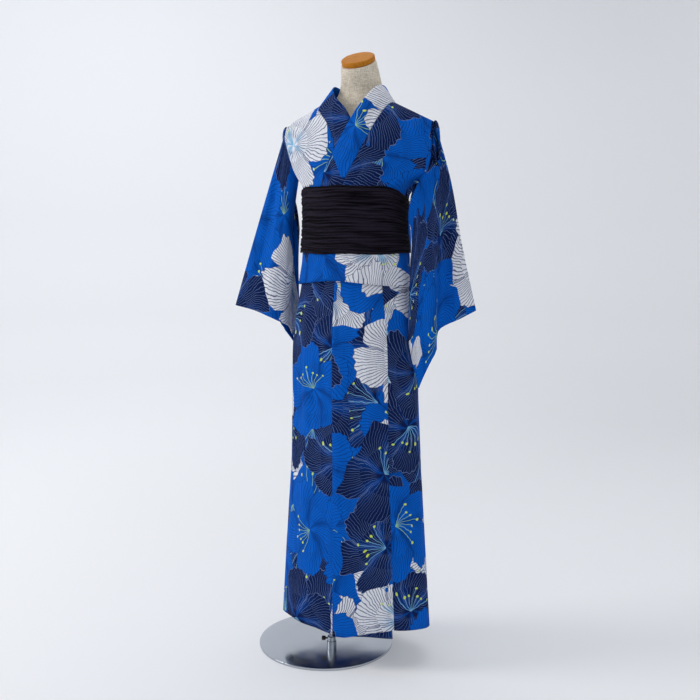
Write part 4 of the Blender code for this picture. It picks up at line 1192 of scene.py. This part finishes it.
def cotton_material():
    """Printed cotton: flowers on the cut, a plain weave and a soft matt face."""
    made, g, shader = new_material("printed cotton")
    cut = g.add("ShaderNodeUVMap", uv_map="cut").outputs[0]
    group = g.add("ShaderNodeGroup")
    group.node_tree = printed_group()
    g.put(group.inputs[0], cut)
    slub = g.noise(g.vector("MULTIPLY", cut, (260, 30, 1)), 1.0, 2.0)
    color = g.mix(g.times(g.step(slub, 0.35, 0.7), 0.10), group.outputs[0], (0.02, 0.03, 0.08, 1))
    across, up, _ = g.split(cut)
    warp, weft = (g.math("SINE", g.times(way, 1000 * math.tau * THREADS)) for way in (across, up))
    height = g.plus(g.times(g.times(warp, weft), 0.3), g.noise(cut, 90.0, 3.0))
    upright = g.noise(g.vector("MULTIPLY", cut, (19, 5, 1)), 1.0, 2.0, 0.45)
    slanted = g.vector("ADD", g.vector("MULTIPLY", cut, (13, 17, 1)), (4.7, 1.3, 0))
    soft = g.plus(upright, g.times(g.noise(slanted, 1.0, 2.0, 0.5), 0.45))
    coat(g, shader, color, 0.82, 0.05, g.bump(height, 0.35, 0.0006, g.bump(soft, 0.9, 0.021)))
    return made


def crepe_material():
    """Charcoal crinkled crepe for the sash, with painted shade in the troughs of its crinkles and painted
    highlight on their ridges.
    """
    made, g, shader = new_material("charcoal crepe")
    cut = g.add("ShaderNodeUVMap", uv_map="cut").outputs[0]
    crinkle = g.noise(g.vector("MULTIPLY", cut, (7, 260, 1)), 1.0, 3.0, 0.5)
    # Painted shade and highlight: the colour is darker where the crinkle height is low and lighter where it
    # is high, the same height that drives the bump.
    color = g.mix(g.step(crinkle, 0.34, 0.66), (0.0006, 0.0004, 0.0009, 1), (0.0195, 0.0150, 0.0265, 1))
    coat(g, shader, color, 0.75, 0.05, g.bump(crinkle, 0.9, 0.0024))
    return made


def linen_material():
    """Cream linen with an open weave and small slubs."""
    made, g, shader = new_material("cream linen")
    place = g.add("ShaderNodeTexCoord").outputs["Object"]
    across = g.noise(g.vector("MULTIPLY", place, (500, 500, 70)), 1.0, 2.0)
    upright = g.noise(g.vector("MULTIPLY", place, (60, 60, 900)), 1.0, 2.0)
    weave = g.plus(across, upright)
    color = g.mix(g.step(weave, 0.75, 1.25), (0.52, 0.45, 0.35, 1), (0.78, 0.71, 0.59, 1))
    coat(g, shader, color, 0.9, 0.2, g.bump(weave, 0.5, 0.0007))
    return made


def wood_material():
    """Varnished orange-brown wood with fine grain."""
    made, g, shader = new_material("varnished wood")
    place = g.add("ShaderNodeTexCoord").outputs["Object"]
    grain = g.noise(g.vector("MULTIPLY", place, (60, 420, 420)), 1.0, 4.0, 0.6)
    color = g.mix(g.step(grain, 0.3, 0.72), (0.56, 0.22, 0.016, 1), (0.38, 0.125, 0.008, 1))
    coat(g, shader, color, 0.5, 0.12, g.bump(grain, 0.15, 0.0003))
    return made


def steel_material():
    """Polished steel with faint turning marks."""
    made, g, shader = new_material("polished steel")
    place = g.add("ShaderNodeTexCoord").outputs["Object"]
    haze = g.noise(place, 18.0, 3.0)
    color = g.mix(haze, (0.40, 0.43, 0.48, 1), (0.50, 0.53, 0.57, 1))
    rough = g.step(haze, 0.3, 0.7, 0.16, 0.26)
    coat(g, shader, color, rough, 0.5, g.bump(g.noise(place, 900.0, 1.0), 0.04, 0.0002))
    shader.inputs["Metallic"].default_value = 1.0
    return made


def black_material():
    """Black oxide of the set screw."""
    made, g, shader = new_material("black oxide")
    place = g.add("ShaderNodeTexCoord").outputs["Object"]
    grit = g.noise(place, 600.0, 2.0)
    color = g.mix(grit, (0.010, 0.010, 0.011, 1), (0.03, 0.03, 0.032, 1))
    coat(g, shader, color, 0.45, 0.5, g.bump(grit, 0.1, 0.0002))
    shader.inputs["Metallic"].default_value = 0.6
    return made


def dress(piece, material, slot, *nodes):
    """Gives a piece its material and lets it stand for its solids, which it hides. slot is not used."""
    piece.data.materials.append(material)
    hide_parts(*nodes)


def finish_of(name, maker):
    """A material made once and shared."""
    if name not in MATERIALS:
        MATERIALS[name] = maker()
    return MATERIALS[name]


def bodice_level(_angle, _run):
    """Layer of the under side of the bodice, the same everywhere."""
    return BODICE_UNDER


def skirt_level(_angle):
    """Layer of the skirt's inner panels, the same everywhere."""
    return SKIRT_UNDER


def skirt_over_level(angle):
    """Layer of the skirt's over front."""
    return over_level(SKIRT_UNDER, angle)


class YukataSizes(bpy.types.PropertyGroup):
    """Sizes a user may change."""

    crease_depth: FloatProperty(
        name="Crease depth",
        description="Depth of the hand-placed creases",
        default=CREASE_DEPTH,
        min=0.0,
        max=2.0,
    )
    light: FloatProperty(
        name="Light",
        description="Strength of the studio light",
        default=1.0,
        min=0.1,
        max=4.0,
    )
    floor_color: FloatVectorProperty(
        name="Floor",
        description="Colour of the floor",
        subtype="COLOR",
        size=3,
        default=(0.72, 0.73, 0.75),
    )


class YUKATA_OT_skirt(bpy.types.Operator):
    """The six lengths of the skirt"""

    bl_idname = "yukata.skirt"
    bl_label = "Skirt"

    def execute(self, context):
        cotton = finish_of("cotton", cotton_material)
        gap = math.degrees(SEAM / 2 / SKIRT_RADIUS)
        for name, node, first, last, hem, over, corner in SKIRT_PANELS:
            start, end = ((low + way * gap, top + way * gap) for low, top, way in (first, last))
            columns = max(16, int(abs(end[0] - start[0]) / SKIRT_COLUMN))
            level = skirt_over_level if over else skirt_level
            piece = skirt_cloth(name, start, end, hem, level, corner, columns=columns)
            dress(piece, cotton, "printed_cotton", node)
        return {"FINISHED"}


class YUKATA_OT_bodice(bpy.types.Operator):
    """The two body panels and the two halves of the collar"""

    bl_idname = "yukata.bodice"
    bl_label = "Bodice and collar"

    def execute(self, context):
        cotton = finish_of("cotton", cotton_material)
        under, over = bodice_level, bodice_over_level
        pieces = (
            (body_cloth("bodice_right", -1, under, (12.4, 0.4)), "body_right", BODY_RATIO),
            (body_cloth("bodice_left", 1, over, (14.1, 0.9)), "body_left", BODY_RATIO),
            (collar_cloth("collar_band_right", -1, under, (16.2, 0.3)), "collar_right", COLLAR_RATIO),
            (collar_cloth("collar_band_left", 1, over, (18.3, 0.6)), "collar_left", COLLAR_RATIO),
        )
        for piece, node, ratio in pieces:
            dress(piece, cotton, "printed_cotton", node)
        return {"FINISHED"}


class YUKATA_OT_sleeves(bpy.types.Operator):
    """The two sleeves"""

    bl_idname = "yukata.sleeves"
    bl_label = "Sleeves"

    def execute(self, context):
        cotton = finish_of("cotton", cotton_material)
        pieces = (
            (sleeve_cloth("sleeve_pouch_left", LEFT_SLEEVE, 1, (44.9, 3.3)), "sleeve_left"),
            (sleeve_cloth("sleeve_pouch_right", RIGHT_SLEEVE, -1, (22.7, 0.8)), "sleeve_right"),
        )
        for piece, node in pieces:
            dress(piece, cotton, "printed_cotton", node)
        return {"FINISHED"}


class YUKATA_OT_sash(bpy.types.Operator):
    """The crinkled sash, its knot and its ends"""

    bl_idname = "yukata.sash"
    bl_label = "Sash"

    def execute(self, context):
        crepe = finish_of("crepe", crepe_material)
        band = sash_cloth("sash_wrap")
        dress(band, crepe, "charcoal_crepe", "sash_band")
        knot = knot_piece()
        dress(knot, crepe, "charcoal_crepe", "sash_knot")
        for side, sign in (("left", 1), ("right", -1)):
            tail = end_cloth("sash_tail_" + side, sign, END_LENGTHS[sign])
            dress(tail, crepe, "charcoal_crepe", "sash_end_" + side)
        return {"FINISHED"}


class YUKATA_OT_form(bpy.types.Operator):
    """The linen form, its cap and the steel stand"""

    bl_idname = "yukata.form"
    bl_label = "Form and stand"

    def execute(self, context):
        form = form_piece()
        dress(form, finish_of("linen", linen_material), "linen", "linen_form")
        up = Vector((0, -math.sin(CAP_TILT), math.cos(CAP_TILT)))
        foot = Vector((BODY_X, BODY_Y + FORM_RINGS[-1][3], NECK_TOP)) + up * REST_GAP
        cap = rounded_plate("cap_disc", CAP_RADIUS, CAP_THICK, CAP_EDGE, foot, CAP_TILT, CAP_CROWN)
        dress(cap, finish_of("wood", wood_material), "cap_wood", "neck_cap")
        steel = finish_of("steel", steel_material)
        disc = rounded_plate("disc_plate", DISC_RADIUS, DISC_THICK, DISC_EDGE, (0, 0, 0), sides=DISC_SIDES)
        dress(disc, steel, "steel", "steel_disc")
        black = finish_of("black", black_material)
        for name, material in (("pole", steel), ("pole_socket", steel), ("set_screw", black)):
            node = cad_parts[name]
            node.data.materials.clear()
            node.data.materials.append(material)
        return {"FINISHED"}


class YUKATA_OT_stage(bpy.types.Operator):
    """The pale floor, the studio light and the camera"""

    bl_idname = "yukata.stage"
    bl_label = "Stage"

    def execute(self, context):
        settings = context.scene.yukata_sizes
        floor = floor_bowl("studio_floor")
        made, _, shader = new_material("pale floor")
        shader.inputs["Base Color"].default_value = (*settings.floor_color, 1)
        shader.inputs["Roughness"].default_value = 0.9
        shader.inputs["Specular IOR Level"].default_value = 0.1
        shader.inputs["Emission Color"].default_value = GLOW_COLOR
        shader.inputs["Emission Strength"].default_value = GLOW
        floor.data.materials.append(made)
        for name, place, aim, size, power, color in LAMPS:
            data = bpy.data.lights.new(name, "AREA")
            data.shape = "DISK"
            data.size = size
            data.energy = power * settings.light
            data.color = color
            lamp = bpy.data.objects.new(name, data)
            lamp.location = place
            lamp.rotation_euler = (Vector(aim) - Vector(place)).to_track_quat("-Z", "Y").to_euler()
            bpy.context.scene.collection.objects.link(lamp)
        world = bpy.data.worlds.new("studio")
        world.use_nodes = True
        sky = world.node_tree.nodes["Background"].inputs
        sky["Color"].default_value = WORLD_COLOR
        sky["Strength"].default_value = WORLD_STRENGTH
        context.scene.world = world
        context.scene.view_settings.view_transform = "Standard"
        data = bpy.data.cameras.new("camera")
        data.sensor_width = CAMERA_SENSOR
        data.lens = CAMERA_SENSOR * CAMERA_REACH
        camera = bpy.data.objects.new("camera", data)
        camera.location = CAMERA_PLACE
        camera.rotation_euler = (math.radians(90 - CAMERA_DOWN), 0, math.radians(CAMERA_TURN))
        bpy.context.scene.collection.objects.link(camera)
        context.scene.camera = camera
        return {"FINISHED"}


class YUKATA_PT_panel(bpy.types.Panel):
    """Lists the pieces and sizes"""

    bl_label = "Yukata"
    bl_idname = "YUKATA_PT_panel"
    bl_space_type = "VIEW_3D"
    bl_region_type = "UI"
    bl_category = "Yukata"

    def draw(self, context):
        settings = context.scene.yukata_sizes
        for name in ("crease_depth", "light", "floor_color"):
            self.layout.prop(settings, name)
        for step in STEPS:
            self.layout.operator("yukata." + step)


STEPS = ("form", "skirt", "bodice", "sleeves", "sash", "stage")
CLASSES = (
    YukataSizes,
    YUKATA_OT_form,
    YUKATA_OT_skirt,
    YUKATA_OT_bodice,
    YUKATA_OT_sleeves,
    YUKATA_OT_sash,
    YUKATA_OT_stage,
    YUKATA_PT_panel,
)


def register():
    """Makes the classes known and hangs the sizes on the scene."""
    for item in CLASSES:
        bpy.utils.register_class(item)
    bpy.types.Scene.yukata_sizes = PointerProperty(type=YukataSizes)


def unregister():
    """Takes the sizes and the classes away again."""
    del bpy.types.Scene.yukata_sizes
    for item in reversed(CLASSES):
        bpy.utils.unregister_class(item)


def main():
    """Builds every piece and the stage in order."""
    register()
    bpy.ops.object.select_all(action="DESELECT")
    for step in STEPS:
        getattr(bpy.ops.yukata, step)()


if __name__ == "__main__":
    main()
